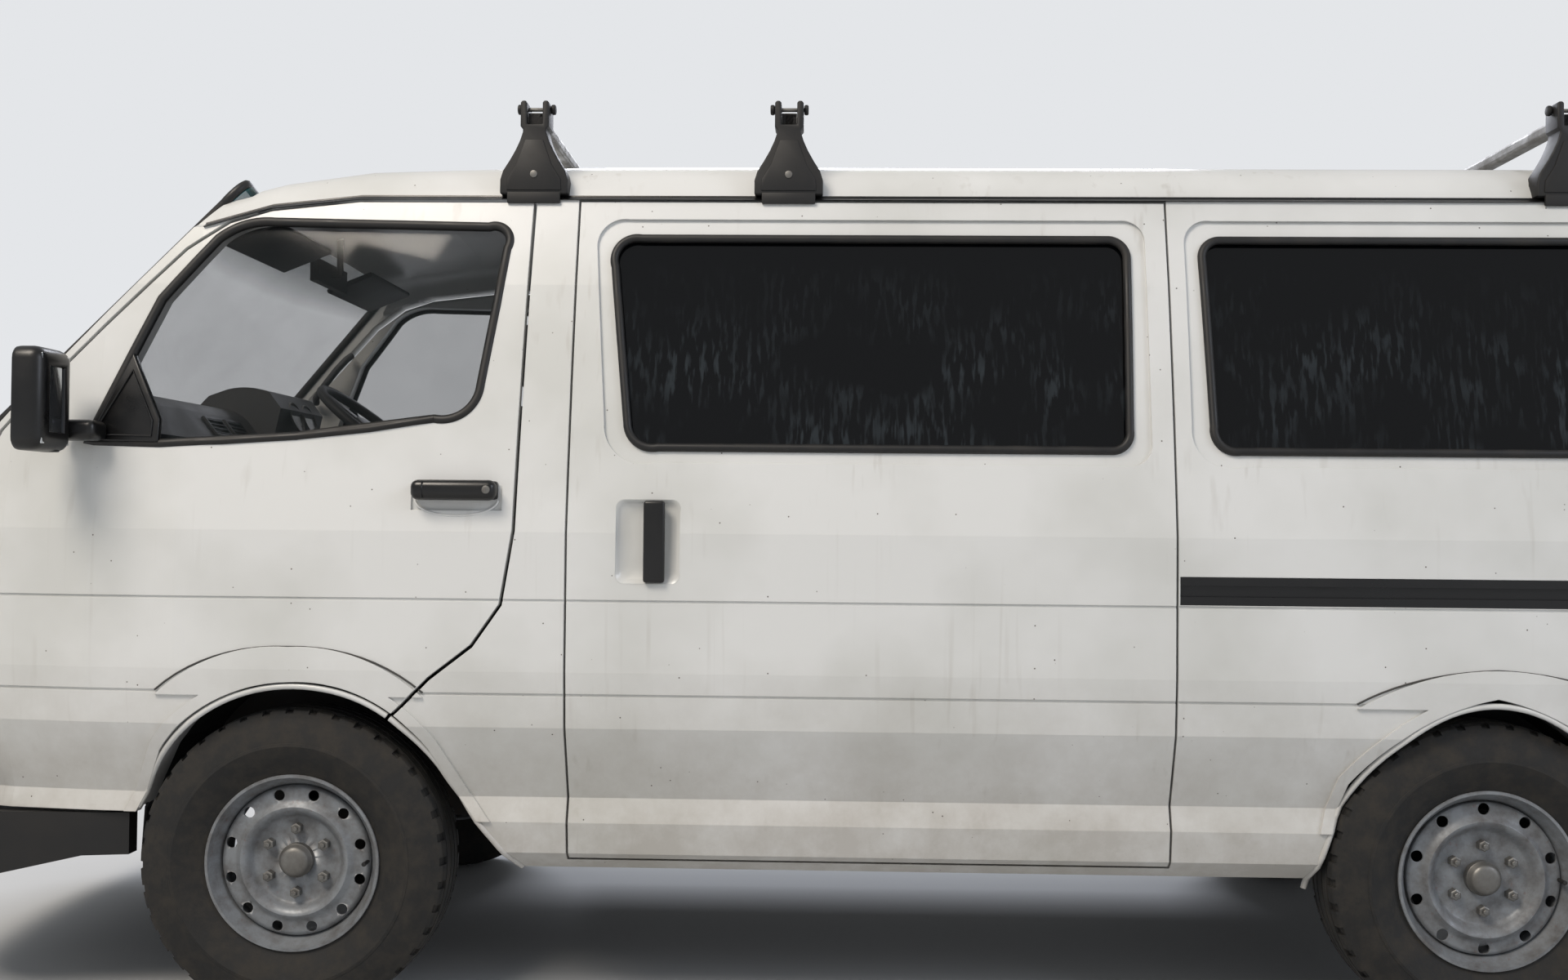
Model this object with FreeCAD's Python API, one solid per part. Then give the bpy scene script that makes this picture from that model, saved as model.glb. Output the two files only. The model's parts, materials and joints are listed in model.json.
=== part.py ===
import FreeCAD, Part
import math
import os

from FreeCAD import Vector

# Panel van with a short nose, cab over the front axle, two sliding doors and a roof rack.
# Millimetres. X runs back along the van, the left side is at -Y, the ground is at Z = 0.
# "back" is a distance behind the front axle.

# Driving dimensions
overall_length = 4695.0
half_width = 847.5
front_overhang = 1040.0
wheelbase = 2570.0
front_half_track = 735.0
rear_half_track = 732.0
tyre_radius = 336.0
roof_height = 1968.0
sill_height = 322.0

# Walls and gaps
side_wall = 60.0
roof_wall = 45.0
nose_wall = 45.0
rear_wall = 75.0
shut_gap = 7.0
panel_gap = 5.0
seat_gap = 0.3
glass_wall = 6.0

front_axle_x = front_overhang - overall_length / 2.0
rear_axle_x = front_axle_x + wheelbase
front_end = -front_overhang
rear_end = overall_length - front_overhang
wheel_z = tyre_radius


def at(back):
    return front_axle_x + back


# Small shape helpers

def vec(x, y, z):
    return Vector(x, y, z)


def box(x0, x1, y0, y1, z0, z1):
    return Part.makeBox(x1 - x0, y1 - y0, z1 - z0, vec(x0, y0, z0))


def wire(points, place):
    """Closed wire. A point is (a, b), or (a, b, via_a, via_b) for an arc that ends at (a, b)."""
    edges = []
    spots = [place(p[0], p[1]) for p in points]
    for i, p in enumerate(points):
        start = spots[i - 1]
        end = spots[i]
        if start.distanceToPoint(end) < 1e-6:
            continue
        if len(p) == 4:
            edges.append(Part.Arc(start, place(p[2], p[3]), end).toShape())
        else:
            edges.append(Part.LineSegment(start, end).toShape())
    return Part.Wire(edges)


def prism_y(points, y0, y1):
    """Outline in (back, height), from y0 to y1."""
    face = Part.Face(wire(points, lambda a, b: vec(at(a), y0, b)))
    return face.extrude(vec(0, y1 - y0, 0))


def prism_x(points, back0, back1):
    """Outline in (y, height), from back0 to back1."""
    face = Part.Face(wire(points, lambda a, b: vec(at(back0), a, b)))
    return face.extrude(vec(back1 - back0, 0, 0))


def prism_z(points, z0, z1, lean=0.0):
    """Outline in (back, y), from z0 to z1, leaning back by lean."""
    face = Part.Face(wire(points, lambda a, b: vec(at(a), b, z0)))
    return face.extrude(vec(lean, 0, z1 - z0))


def rod(start, direction, radius, length):
    return Part.makeCylinder(radius, length, start, direction)


def ring(profile, centre, axis=Vector(0, 1, 0)):
    """Turned piece. The profile is (along the axis, radius)."""
    flat = Part.Face(wire(profile, lambda a, b: vec(b, a, 0)))
    turned = flat.revolve(vec(0, 0, 0), vec(0, 1, 0), 360)
    turned.Placement = FreeCAD.Placement(centre, FreeCAD.Rotation(vec(0, 1, 0), axis))
    return turned


def flipped(shape):
    return shape.mirror(vec(0, 0, 0), vec(0, 1, 0))


def fuse(shapes):
    joined = shapes[0]
    if len(shapes) > 1:
        joined = shapes[0].fuse(list(shapes[1:]))
    return joined.removeSplitter()


def both_sides(shape):
    return Part.makeCompound([shape, flipped(shape)])


def save(name, shape):
    solids = shape.Solids
    kept = solids[0] if len(solids) == 1 else Part.makeCompound(solids)
    kept.exportStep("parts/" + name + ".step")
    print(name, len(solids), round(kept.Volume / 1e6, 3), kept.isValid())


# Body envelope: one closed cross-section, carried along the van by a table of stations.
# Columns: back, side_in (narrowing of the half width), gutter_drop and crown_drop.
gutter_height = 1806.0
stations = [
    (front_end - 10, 265, 67, 160),
    (-850, 104, 67, 150),
    (-650, 40, 67, 140),
    (-450, 13, 67, 120),
    (-250, 0, 67, 98),
    (-100, 0, 22, 59),
    (100, 0, 0, 24),
    (450, 0, 0, 5),
    (800, 0, 0, 0),
    (3250, 0, 0, 2),
    (3480, 22, 0, 16),
    (rear_end + 10, 70, 0, 45),
]

# Side below the belt. Columns: inset from the half width, height.
lower_side = [(112, sill_height), (62, 362), (52, 430), (70, 482), (10, 640), (4, 716), (0, 760)]
belt_height = 1060.0
shoulder_in = 92.0
shoulder_height = 1607.0
gutter_in = 140.0


def gutter_inset(height):
    share = (height - shoulder_height) / (gutter_height - shoulder_height)
    return shoulder_in + (gutter_in - shoulder_in) * share


def section(station, wall, depth):
    """Half outline in (y, height). The inner one has straight walls; depth sets a skin back."""
    back, side_in, gutter_drop, crown_drop = station
    w = half_width - side_in - depth
    zg = gutter_height - gutter_drop
    zc = roof_height - crown_drop - depth
    if wall:
        w -= side_wall
        zg -= 10
        zc -= roof_wall
        half = [(w - 75, sill_height - 60), (w - 75, 600), (w, 740), (w, belt_height)]
    else:
        half = [(w - inset, height) for inset, height in lower_side]
        half.append((w, belt_height))
    half.append((w - shoulder_in, shoulder_height, w - 26, 1240))
    half.append((w - gutter_inset(zg), zg))
    edge = w - gutter_inset(zg) - 16
    half.append((edge, zg + 8))
    rise = zc - zg - 8
    half.append((edge * 0.81, zg + 8 + rise * 0.62, edge * 0.95, zg + 8 + rise * 0.36))
    half.append((0, zc, edge * 0.42, zg + 8 + rise * 0.905))
    return half


def closed_section(station, wall, depth):
    right = section(station, wall, depth)
    left = []
    for here, after in zip(right[-2::-1], right[:0:-1]):
        if len(after) == 4:
            left.append((-here[0], here[1], -after[2], after[3]))
        else:
            left.append((-here[0], here[1]))
    return wire(right + left, lambda a, b: vec(at(station[0]), a, b))


def envelope(wall=False, depth=0.0):
    return Part.makeLoft([closed_section(s, wall, depth) for s in stations], True, True)


# Nose, windscreen and tail: a bowed plan outline swept up along a few slopes.
# Columns: height, back of the middle of the outline.
nose_line = [(200, -1034), (620, -1030), (900, -992), (1172, -917), (1905, -217)]
front_bow = 118.0
tail_line = [(200, 3652), (640, 3640), (1000, 3612), (1880, 3536), (2060, 3505)]
tail_bow = 40.0
far = 5200


def behind_nose(inset):
    slabs = []
    reach = half_width - 70
    for (z0, back0), (z1, back1) in zip(nose_line, nose_line[1:]):
        b = back0 + inset
        plan = [(b, 0), (b + front_bow, reach, b + front_bow * 0.26, reach / 2),
                (b + front_bow + 60, half_width + 40), (far, half_width + 40),
                (far, -half_width - 40), (b + front_bow + 60, -half_width - 40), (b + front_bow, -reach),
                (b, 0, b + front_bow * 0.26, -reach / 2)]
        slabs.append(prism_z(plan, z0, z1, back1 - back0))
    top_z, top_back = nose_line[-1]
    slabs.append(prism_z([(top_back + inset, -950), (top_back + inset, 950), (far, 950), (far, -950)],
                         top_z, 2100))
    return fuse(slabs)


def ahead_of_tail(inset):
    slabs = []
    for (z0, back0), (z1, back1) in zip(tail_line, tail_line[1:]):
        b = back0 - inset
        plan = [(b, 0), (b - tail_bow, 760, b - tail_bow * 0.25, 380), (b - tail_bow - 40, 900), (-2000, 900),
                (-2000, -900), (b - tail_bow - 40, -900), (b - tail_bow, -760),
                (b, 0, b - tail_bow * 0.25, -380)]
        slabs.append(prism_z(plan, z0, z1, back1 - back0))
    return fuse(slabs)


nose_space = behind_nose(0)
tail_space = ahead_of_tail(0)
inner = envelope(wall=True).common(behind_nose(nose_wall)).common(ahead_of_tail(rear_wall))


def grown(points, distance, y0, y1):
    """Side prism whose outline is offset by distance."""
    face = Part.Face(wire(points, lambda a, b: vec(at(a), y0, b)))
    if distance:
        face = face.makeOffset2D(distance, 2, False, False, False)
    return face.extrude(vec(0, y1 - y0, 0))


def grown_x(points, distance, back0, back1):
    face = Part.Face(wire(points, lambda a, b: vec(at(back0), a, b)))
    if distance:
        face = face.makeOffset2D(distance, 2, False, False, False)
    return face.extrude(vec(back1 - back0, 0, 0))


# Outlines on the side, in (back, height)
door_front = -735.0
door_bottom = 440.0
door_rear_top = 493.0
gutter_line = [(-250, gutter_height - 67), (-100, gutter_height - 22), (100, gutter_height)]
door_outline = [(door_front, door_bottom), (-300, door_bottom), (150, 600), (234, 678), (300, 745),
                (393, 817), (454, 905), (480, 1063), (door_rear_top, gutter_height - shut_gap),
                (98, gutter_height - shut_gap), (-99, gutter_height - 22 - shut_gap), (-190, 1748),
                (-281, 1685), (-677, 1273), (door_front, 1150)]
front_window = [(-468, 1250), (-300, 1246), (0, 1264), (300, 1304), (398, 1378, 376, 1328), (424, 1560),
                (440, 1690), (396, 1742, 434, 1734), (-90, 1752), (-215, 1712, -160, 1744), (-329, 1572)]
slide_front = 600.0
slide_rear = 1898.0
slide_bottom = 350.0
slide_outline = [(slide_front, slide_bottom), (slide_rear, slide_bottom),
                 (slide_rear, gutter_height - panel_gap), (slide_front, gutter_height - panel_gap)]
slide_window = [(790, 1246), (1765, 1246), (1806, 1290, 1794, 1256), (1812, 1672),
                (1770, 1716, 1800, 1704), (740, 1716), (683, 1650, 694, 1702), (722, 1300),
                (790, 1246, 742, 1258)]
quarter_window = [(2040, 1246), (3290, 1246), (3330, 1290, 3320, 1256), (3300, 1672),
                  (3258, 1716, 3290, 1704), (2020, 1716), (1976, 1672, 1988, 1704), (1986, 1300),
                  (2040, 1246, 2000, 1258)]
recess_depth = 7.0
slide_recess = [(780, 1212), (1800, 1212), (1852, 1266, 1838, 1226), (1852, 1706), (1800, 1760, 1838, 1746),
                (712, 1760), (642, 1690, 660, 1744), (672, 1300), (780, 1212, 700, 1232)]
quarter_recess = [(2040, 1212), (3330, 1212), (3376, 1266, 3366, 1226), (3344, 1700),
                  (3290, 1760, 3330, 1746), (2000, 1760), (1938, 1706, 1954, 1746), (1938, 1300),
                  (2040, 1212, 1962, 1232)]
front_arch = [(-370, 200), (-356, 430), (-290, 580), (0, 733, -160, 692), (300, 590, 170, 700), (360, 480),
              (491, 323), (500, 200)]
rear_arch = [(-396, 200), (-297, 538), (0, 727, -140, 676), (297, 538, 140, 676), (396, 200)]


def arch(points, shift, y0, y1):
    moved = [tuple(v + shift if i % 2 == 0 else v for i, v in enumerate(p)) for p in points]
    return prism_y(moved, y0, y1)


def grown_arch(points, by):
    """Arch outline with every point moved away from the wheel centre."""
    moved = []
    for p in points:
        pairs = [(p[0], p[1])] + ([(p[2], p[3])] if len(p) == 4 else [])
        row = []
        for a, b in pairs:
            height = max(b - wheel_z, 0.0)
            size = math.hypot(a, height)
            row += [a + by * a / size, b + by * height / size]
        moved.append(tuple(row))
    return moved


arches = fuse([arch(front_arch, 0, -950, -430), arch(rear_arch, wheelbase, -950, -560)])
arches = arches.fuse(flipped(arches))

# Flares stand out round the arches: a lip all round, and a blister above the lower crease.
# Columns: arch outline, shift, peak height of the blister.
flare_out = 6.0
flare_lip = 26.0
flare_low = 703.0
flare_rows = [(front_arch, 0.0, 809.0), (rear_arch, wheelbase, 787.0)]
flare_prisms = []
for outline, shift, peak in flare_rows:
    blister = [(-292, flare_low), (0, peak, -160, peak - 24), (292, flare_low, 160, peak - 24)]
    flare_prisms.append(arch(grown_arch(outline, flare_lip), shift, -950, -600))
    flare_prisms.append(arch(blister, shift, -950, -600))
flare_space = fuse(flare_prisms).cut(box(-3000, 3000, -960, -500, 0, 430))
flare_space = flare_space.fuse(flipped(flare_space))

outer = envelope().fuse(envelope(depth=-flare_out).common(flare_space)).common(nose_space).common(tail_space)
shell = outer.cut(inner)

# Pressed creases along the side
crease_heights = (709.0, 911.0)
crease_width = 5.0
crease_depth = 3.0
crease_space = envelope(depth=-1).cut(envelope(depth=crease_depth))
creases = fuse([crease_space.common(box(-2200, 2340, y, y + 450, z, z + crease_width))
                for z in crease_heights for y in (-950, 500)]).cut(flare_space)
header_front = (-600, 1790)
roof_space = prism_y(gutter_line + [(far, gutter_height), (far, 2300), (header_front[0], 2300), header_front],
                     -950, 950)

skin_depth = 22.0
glass_depth = 14.0
skin_core = envelope(depth=skin_depth)
glass_layer = envelope(depth=glass_depth).cut(envelope(depth=glass_depth + glass_wall))
recess_layer = envelope().cut(envelope(depth=recess_depth))


# Front door. The pin stands near the outer skin, and the edge round it is rounded to turn in its gap.
hinge_back = door_front + 14
hinge_y = -776.0
hinge_pin = 6.0
hinge_nose = 14.0
hinge_heights = [800.0, 1035.0]
hinge_leaf = 24.0
handle_back = (266.0, 450.0)
handle_height = (1126.0, 1172.0)


def front_door():
    body = shell.common(prism_y(door_outline, -950, -500)).cut(arches).cut(creases)
    rim = prism_y(door_outline, -950, -500).cut(grown(door_outline, -12, -950, -500))
    body = body.cut(skin_core.common(rim))
    body = body.cut(prism_y(front_window, -950, -500))
    corner = box(at(door_front - 5), at(hinge_back), -950, hinge_y, 200, 1400)
    corner = corner.cut(rod(vec(at(hinge_back), hinge_y, 200), vec(0, 0, 1), hinge_nose, 1200))
    body = body.cut(corner)
    for z in hinge_heights:
        slot = box(at(door_front - 20), at(hinge_back) + hinge_pin + 8, hinge_y - hinge_pin - 1.5, -600,
                   z - hinge_leaf - shut_gap, z + hinge_leaf + shut_gap)
        bore = rod(vec(at(hinge_back), hinge_y, z - 60), vec(0, 0, 1), hinge_pin + seat_gap, 120)
        body = body.cut(slot).cut(bore)
    return body


def front_door_hinges():
    pieces = []
    for z in hinge_heights:
        x = at(hinge_back)
        pin = rod(vec(x, hinge_y, z - 55), vec(0, 0, 1), hinge_pin, 110)
        leg = box(x - hinge_pin, x + hinge_pin, hinge_y, hinge_y + 74, z - hinge_leaf, z + hinge_leaf)
        arm = box(at(door_front) - 45, x + hinge_pin, hinge_y + 62, hinge_y + 74,
                  z - hinge_leaf, z + hinge_leaf)
        pieces.append(fuse([pin, leg, arm]))
    return Part.makeCompound(pieces)


def door_glass():
    return glass_layer.common(prism_y(front_window, -950, -500))


# Mirror on a black foot that fills the front corner of the door's window
mirror_back = (-548.0, -452.0)
mirror_height = (1222.0, 1440.0)
mirror_y = (-1010.0, -850.0)
sail = [(-464, 1252), (-300, 1248), (-300, 1300), (-376, 1450)]


def door_mirror():
    foot = envelope(depth=-12).cut(envelope(depth=glass_depth - seat_gap))
    foot = foot.common(grown(sail, -1, -950, -500))
    arm = box(at(mirror_back[0] + 30), at(-420), mirror_y[1] - 10, -812,
              mirror_height[0] + 30, mirror_height[0] + 70)
    head = box(at(mirror_back[0]), at(mirror_back[1]), mirror_y[0], mirror_y[1], *mirror_height)
    head = head.makeFillet(22, head.Edges)
    return fuse([foot, arm, head])


def door_handle():
    b0, b1 = handle_back
    z0, z1 = handle_height
    y = -half_width
    grip = box(at(b0), at(b1), y - 34, y - 20, z0 + 8, z1 - 8)
    feet = [box(at(b), at(b + 30), y - 22, y + 14, z0 + 10, z1 - 10) for b in (b0, b1 - 30)]
    return fuse([grip] + feet)


# Sliding door: outer skin inside its shut line, inner part seated in the opening
def sliding_door():
    side = prism_y(slide_outline, -950, -500)
    seat = grown(slide_outline, panel_gap - seat_gap, -950, -500)
    body = shell.cut(skin_core).common(side).fuse(shell.common(skin_core).common(seat)).removeSplitter()
    body = body.cut(roof_space)
    body = body.cut(recess_layer.common(prism_y(slide_recess, -950, -500))).cut(creases)
    return body.cut(prism_y(slide_window, -950, -500))


def sliding_glass():
    return glass_layer.common(prism_y(slide_window, -950, -500))


def quarter_glass():
    return glass_layer.common(prism_y(quarter_window, -950, -500))


# Tail: top-hung door between the rear corners
tailgate_bottom = 606.0
tailgate_top = 1880.0
tailgate_outline = [(-690, tailgate_bottom), (690, tailgate_bottom), (700, 1060), (655, 1560),
                    (612, 1780), (520, 1850), (400, tailgate_top), (-400, tailgate_top), (-520, 1850),
                    (-612, 1780), (-655, 1560), (-700, 1060)]
rear_window = [(-560, 1250), (560, 1250), (606, 1300, 594, 1264), (560, 1740), (510, 1786, 548, 1774),
               (-510, 1786), (-560, 1740, -548, 1774), (-606, 1300), (-560, 1250, -594, 1264)]
tail_hinge_back = 3521.0
tail_hinge_z = tailgate_top - 14
tail_nose = 14.0
tail_hinge_y = (-260.0, 260.0)
tail_leg = 84.0
tail_start = 3380.0


def tailgate():
    body = outer.common(grown_x(tailgate_outline, 0, tail_start, rear_end + 60)).cut(ahead_of_tail(rear_wall))
    body = body.cut(grown_x(rear_window, 0, tail_start, rear_end + 60))
    corner = box(at(tail_hinge_back), at(rear_end), -800, 800, tail_hinge_z, 2000)
    corner = corner.cut(rod(vec(at(tail_hinge_back), -800, tail_hinge_z), vec(0, 1, 0), tail_nose, 1600))
    body = body.cut(corner)
    for y in tail_hinge_y:
        slot = box(at(tail_start), at(tail_hinge_back) + hinge_pin + 1.5, y - 32, y + 32,
                   tail_hinge_z - hinge_pin - 8, 2000)
        body = body.cut(slot)
        start = vec(at(tail_hinge_back), y - 62, tail_hinge_z)
        body = body.cut(rod(start, vec(0, 1, 0), hinge_pin + seat_gap, 124))
    return body


def tail_hinges():
    pieces = []
    for y in tail_hinge_y:
        x = at(tail_hinge_back)
        pin = rod(vec(x, y - 56, tail_hinge_z), vec(0, 1, 0), hinge_pin, 112)
        low = tail_hinge_z - hinge_pin
        leg = box(x - tail_leg, x, y - 24, y + 24, low, tail_hinge_z + hinge_pin)
        arm = box(x - tail_leg, x - tail_leg + 12, y - 24, y + 24, low, tail_hinge_z + 50)
        pieces.append(fuse([pin, leg, arm]))
    return Part.makeCompound(pieces)


def tailgate_glass():
    layer = ahead_of_tail(glass_depth).cut(ahead_of_tail(glass_depth + glass_wall))
    return layer.common(prism_x(rear_window, tail_start, rear_end + 60))


tail_lamp = [(736, 950), (800, 950), (900, 950), (900, 1380), (736, 1380)]
tail_lamp_back = 3500.0


def tail_lamps():
    one = shell.common(grown_x(tail_lamp, 0, tail_lamp_back, rear_end + 60))
    return both_sides(one)


# Nose: lamps, grille and the hinged service lid, cut from the same wall
head_lamp = [(478, 700), (700, 706), (900, 730), (900, 985), (800, 985), (690, 930), (478, 862)]
lamp_back = -760.0
grille_outline = [(-462, 700), (462, 700), (462, 858), (-462, 858)]
grille_rim = 22.0
grille_bars = 3
lid_outline = [(-600, 905), (600, 905), (600, 1128), (-600, 1128)]
lid_thickness = 26.0
lid_hinge_z = 1118.0
lid_hinge_depth = 14.0
lid_hinge_y = (-150.0, 150.0)
lid_pin = 5.0
lid_nose = 12.0
lid_opening_rear = -785.0
nose_bottom = 612.0
nose_front = -1150.0
nose_rear = -700.0


def head_lamps():
    return both_sides(shell.common(grown_x(head_lamp, -seat_gap, nose_front, lamp_back)))


def grille():
    frame = shell.common(grown_x(grille_outline, -seat_gap, nose_front, nose_rear))
    rim = frame.cut(grown_x(grille_outline, -grille_rim, nose_front, nose_rear))
    low = grille_outline[0][1]
    pitch = (grille_outline[2][1] - low) / (grille_bars + 1)
    bars = [frame.common(box(at(nose_front), at(nose_rear), -450, 450, low + pitch * (k + 1) - 7,
                             low + pitch * (k + 1) + 7)) for k in range(grille_bars)]
    plate = behind_nose(30).cut(behind_nose(44)).common(frame)
    return fuse([rim] + bars + [plate])


def nose_back(height):
    """Back of the middle of the nose at a height."""
    for (z0, back0), (z1, back1) in zip(nose_line, nose_line[1:]):
        if z0 <= height <= z1:
            return back0 + (back1 - back0) * (height - z0) / (z1 - z0)
    return back0


def bow(y):
    return front_bow * (y / (half_width - 70)) ** 2


lid_hinge_back = nose_back(lid_hinge_z) + bow(lid_hinge_y[1]) + lid_hinge_depth


def lid_hinge(y):
    """Pin with an arm that is bolted up into the wall above the lid."""
    x = at(lid_hinge_back)
    pin = rod(vec(x, y - 40, lid_hinge_z), vec(0, 1, 0), lid_pin, 80)
    leg = box(x, x + 20, y - 14, y + 14, lid_hinge_z - lid_pin, lid_hinge_z + lid_pin)
    arm = box(x + 8, x + 20, y - 14, y + 14, lid_hinge_z - lid_pin, lid_outline[2][1] + 30)
    return fuse([pin, leg, arm])


def front_lid():
    """The top edge is rounded about the pin where it turns outwards."""
    body = outer.common(grown_x(lid_outline, 0, nose_front, nose_rear)).cut(behind_nose(lid_thickness))
    x = at(lid_hinge_back)
    for y in lid_hinge_y:
        body = body.cut(rod(vec(x, y - 46, lid_hinge_z), vec(0, 1, 0), lid_pin + seat_gap, 92))
        body = body.cut(box(x - 10, x + 60, y - 20, y + 20, lid_hinge_z - 14, lid_hinge_z + 40))
    top = box(at(nose_front), x, -700, 700, lid_hinge_z, 1300)
    top = top.cut(rod(vec(x, -800, lid_hinge_z), vec(0, 1, 0), lid_nose, 1600))
    return body.cut(top)


# Windscreen outline from ahead, in (y, height)
screen_outline = [(-700, 1215), (700, 1215), (748, 1264, 738, 1228), (657, 1800), (615, 1850, 648, 1838),
                  (-615, 1850), (-657, 1800, -648, 1838), (-748, 1264), (-700, 1215, -738, 1228)]
screen_depth = 8.0
cowl_height = 1172.0


def windscreen():
    layer = behind_nose(screen_depth).cut(behind_nose(screen_depth + glass_wall))
    return layer.common(prism_x(screen_outline, nose_front, 0))


# Bumpers: black mouldings, open behind. Columns: back, y, and the arc's middle.
front_bumper_height = (262.0, 605.0)
rear_bumper_height = (452.0, 598.0)
bumper_wall = 40.0
rear_bumper_front = 3135.0
intake_height = (400.0, 540.0)


def bumper_plan(inset, rear):
    i = inset
    if rear:
        half = [(rear_bumper_front, 800 - i), (3480 - i, 806 - i), (3612 - i, 690 - i, 3576 - i, 768 - i)]
        middle = rear_end - i
    else:
        half = [(-375, 770 - i), (-760 + i, 776 - i), (-985 + i, 545 - i, -912 + i, 700 - i)]
        middle = front_end + i
    across = half[-1]
    points = [(across[0], -across[1], middle, 0), (half[1][0], -half[1][1], across[2], -across[3]),
              (half[0][0], -half[0][1])]
    return half + points


def front_bumper():
    z0, z1 = front_bumper_height
    hollow = prism_z(bumper_plan(bumper_wall, False), z0 - 1, z1 + 1)
    body = prism_z(bumper_plan(0, False), z0, z1).cut(hollow)
    body = body.cut(box(at(-380 - bumper_wall), at(-300), -700, 700, z0 - 1, z1 + 1))
    lip = grown(door_outline, shut_gap, -950, -500)
    body = body.cut(lip).cut(flipped(lip)).cut(arches)
    above = box(at(door_front - shut_gap - 1), at(0), -950, 950, door_bottom - shut_gap, 700)
    body = body.cut(above)
    body = body.cut(prism_y([(-820, z0 - 1), (-300, z0 - 1), (-300, 345), (-480, 338)], -950, 950))
    return body.cut(box(at(nose_front), at(-900), -430, 430, *intake_height))


def rear_bumper():
    z0, z1 = rear_bumper_height
    hollow = prism_z(bumper_plan(bumper_wall, True), z0 - 1, z1 + 1)
    body = prism_z(bumper_plan(0, True), z0, z1).cut(hollow)
    return body.cut(box(at(rear_bumper_front - 5), at(rear_bumper_front + 40), -740, 740, z0 - 1, z1 + 1))


# Roof gutter mouldings, slide rails and handles
moulding_height = 12.0


def gutter_mouldings():
    lower = gutter_line + [(3560, gutter_height)]
    upper = [(b, z + moulding_height) for b, z in reversed(lower)]
    band = envelope(depth=-7).cut(envelope(depth=5)).common(prism_y(lower + upper, -950, -500))
    return both_sides(band.common(tail_space))


slide_rail = [(1906, 918), (3150, 918), (3150, 978), (1906, 978)]
slide_rail_depth = 14.0
pull_back = (705.0, 842.0)
pull_height = (953.0, 1131.0)
pull_depth = 24.0


def slide_fittings():
    outline = grown(slide_rail, -seat_gap, -950, -500)
    rail = envelope().cut(envelope(depth=slide_rail_depth)).common(outline)
    groove = envelope(depth=-1).cut(envelope(depth=9))
    z_mid = (slide_rail[0][1] + slide_rail[2][1]) / 2
    rail = rail.cut(groove.common(box(at(1880), at(3140), -950, -500, z_mid - 12, z_mid + 12)))
    b0, b1 = pull_back
    z0, z1 = pull_height
    y = -half_width
    bar = box(at(b0 + 62), at(b0 + 104), y - 12, y + 2, z0 + 3, z1 - 3)
    bar = bar.makeFillet(6, [e for e in bar.Edges if abs(e.tangentAt(e.FirstParameter).z) > 0.9])
    posts = [box(at(b0 + 68), at(b0 + 98), y, y + pull_depth, z, z + 24) for z in (z0 + 5, z1 - 29)]
    pull = fuse([bar] + posts)
    return Part.makeCompound([rail, flipped(rail), pull, flipped(pull)])


def pull_pocket():
    b0, b1 = pull_back
    z0, z1 = pull_height
    pocket = box(at(b0), at(b1), -950, -half_width + pull_depth, z0, z1)
    return pocket.makeFillet(16, [e for e in pocket.Edges if abs(e.tangentAt(e.FirstParameter).y) > 0.9])


def door_handle_pocket():
    b0, b1 = handle_back
    z0, z1 = handle_height
    return box(at(b0 - 6), at(b1 + 6), -950, -half_width + 14, z0 - 20, z1 - 4)


# Floor: footwell, raised deck under the seats, load floor and the walls of the wheel bays
sheet = 20.0
footwell_z = 500.0
deck_z = 840.0
load_floor_z = 620.0
footwell_back = (-800.0, -420.0)
deck_back = (-420.0, 480.0)
load_floor_back = (460.0, 3565.0)
bay_wall_y = (425.0, 440.0)
door_clear = 9.0


def floor_pan():
    f0, f1 = footwell_back
    d0, d1 = deck_back
    plates = [
        box(at(f0), at(f1 + sheet), -800, 800, footwell_z - sheet, footwell_z),
        prism_y([(f0, footwell_z - sheet), (f0 + sheet, footwell_z - sheet), (f0 - 85, 880),
                 (f0 - 85 - sheet, 880)], -800, 800),
        box(at(f1), at(f1 + sheet), -800, 800, footwell_z - sheet, deck_z),
        box(at(d0), at(d1), -800, 800, deck_z - sheet, deck_z),
        box(at(d1 - sheet), at(d1), -800, 800, load_floor_z - sheet, deck_z),
        box(at(load_floor_back[0]), at(load_floor_back[1]), -800, 800, load_floor_z - sheet, load_floor_z),
    ]
    for side in (-1, 1):
        y0, y1 = sorted((side * bay_wall_y[0], side * bay_wall_y[1]))
        plates.append(box(at(f1), at(d1), y0, y1, footwell_z - sheet, deck_z))
    pan = fuse(plates)
    wall_space = envelope(wall=True, depth=seat_gap).common(behind_nose(nose_wall + seat_gap))
    wall_space = wall_space.common(ahead_of_tail(rear_wall + shut_gap))
    pan = pan.common(wall_space)
    beside_doors = box(at(-1100), at(door_rear_top + 12), -900, 900, 200, 900)
    narrow = envelope(wall=True, depth=door_clear)
    pan = pan.cut(beside_doors.cut(narrow))
    cut = arch(grown_arch(rear_arch, liner_wall + 0.3), wheelbase, -950, -liner_inner[1] + 0.3)
    return pan.cut(cut).cut(flipped(cut))


# Liners over the wheels
liner_wall = 6.0
liner_inner = (440.0, 566.0)
liner_outer = 702.0
steer_room = 10.0
axle_room = 12.0


def arch_liners():
    """The front ones stand back for the steered wheel, and the rear ones are notched for the axle tube."""
    pieces = []
    rows = ((grown_arch(front_arch, steer_room), 0, liner_inner[0], 0.0),
            (rear_arch, wheelbase, liner_inner[1], liner_wall))
    notch = box(rear_axle_x - axle_tube - axle_room, rear_axle_x + axle_tube + axle_room, -600, -500, 300,
                wheel_z + axle_tube + axle_room)
    for outline, shift, y0, end_wall in rows:
        solid = arch(grown_arch(outline, liner_wall), shift, -liner_outer, -y0)
        space = arch(outline, shift, -liner_outer - 1, -y0 - end_wall)
        if not end_wall:
            space = arch(outline, shift, -liner_outer - 1, -y0 + 1)
        pieces.append(solid.cut(space).cut(box(-3000, 3000, -900, 0, 0, 330)).cut(notch))
    return Part.makeCompound(pieces + [flipped(p) for p in pieces])


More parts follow.
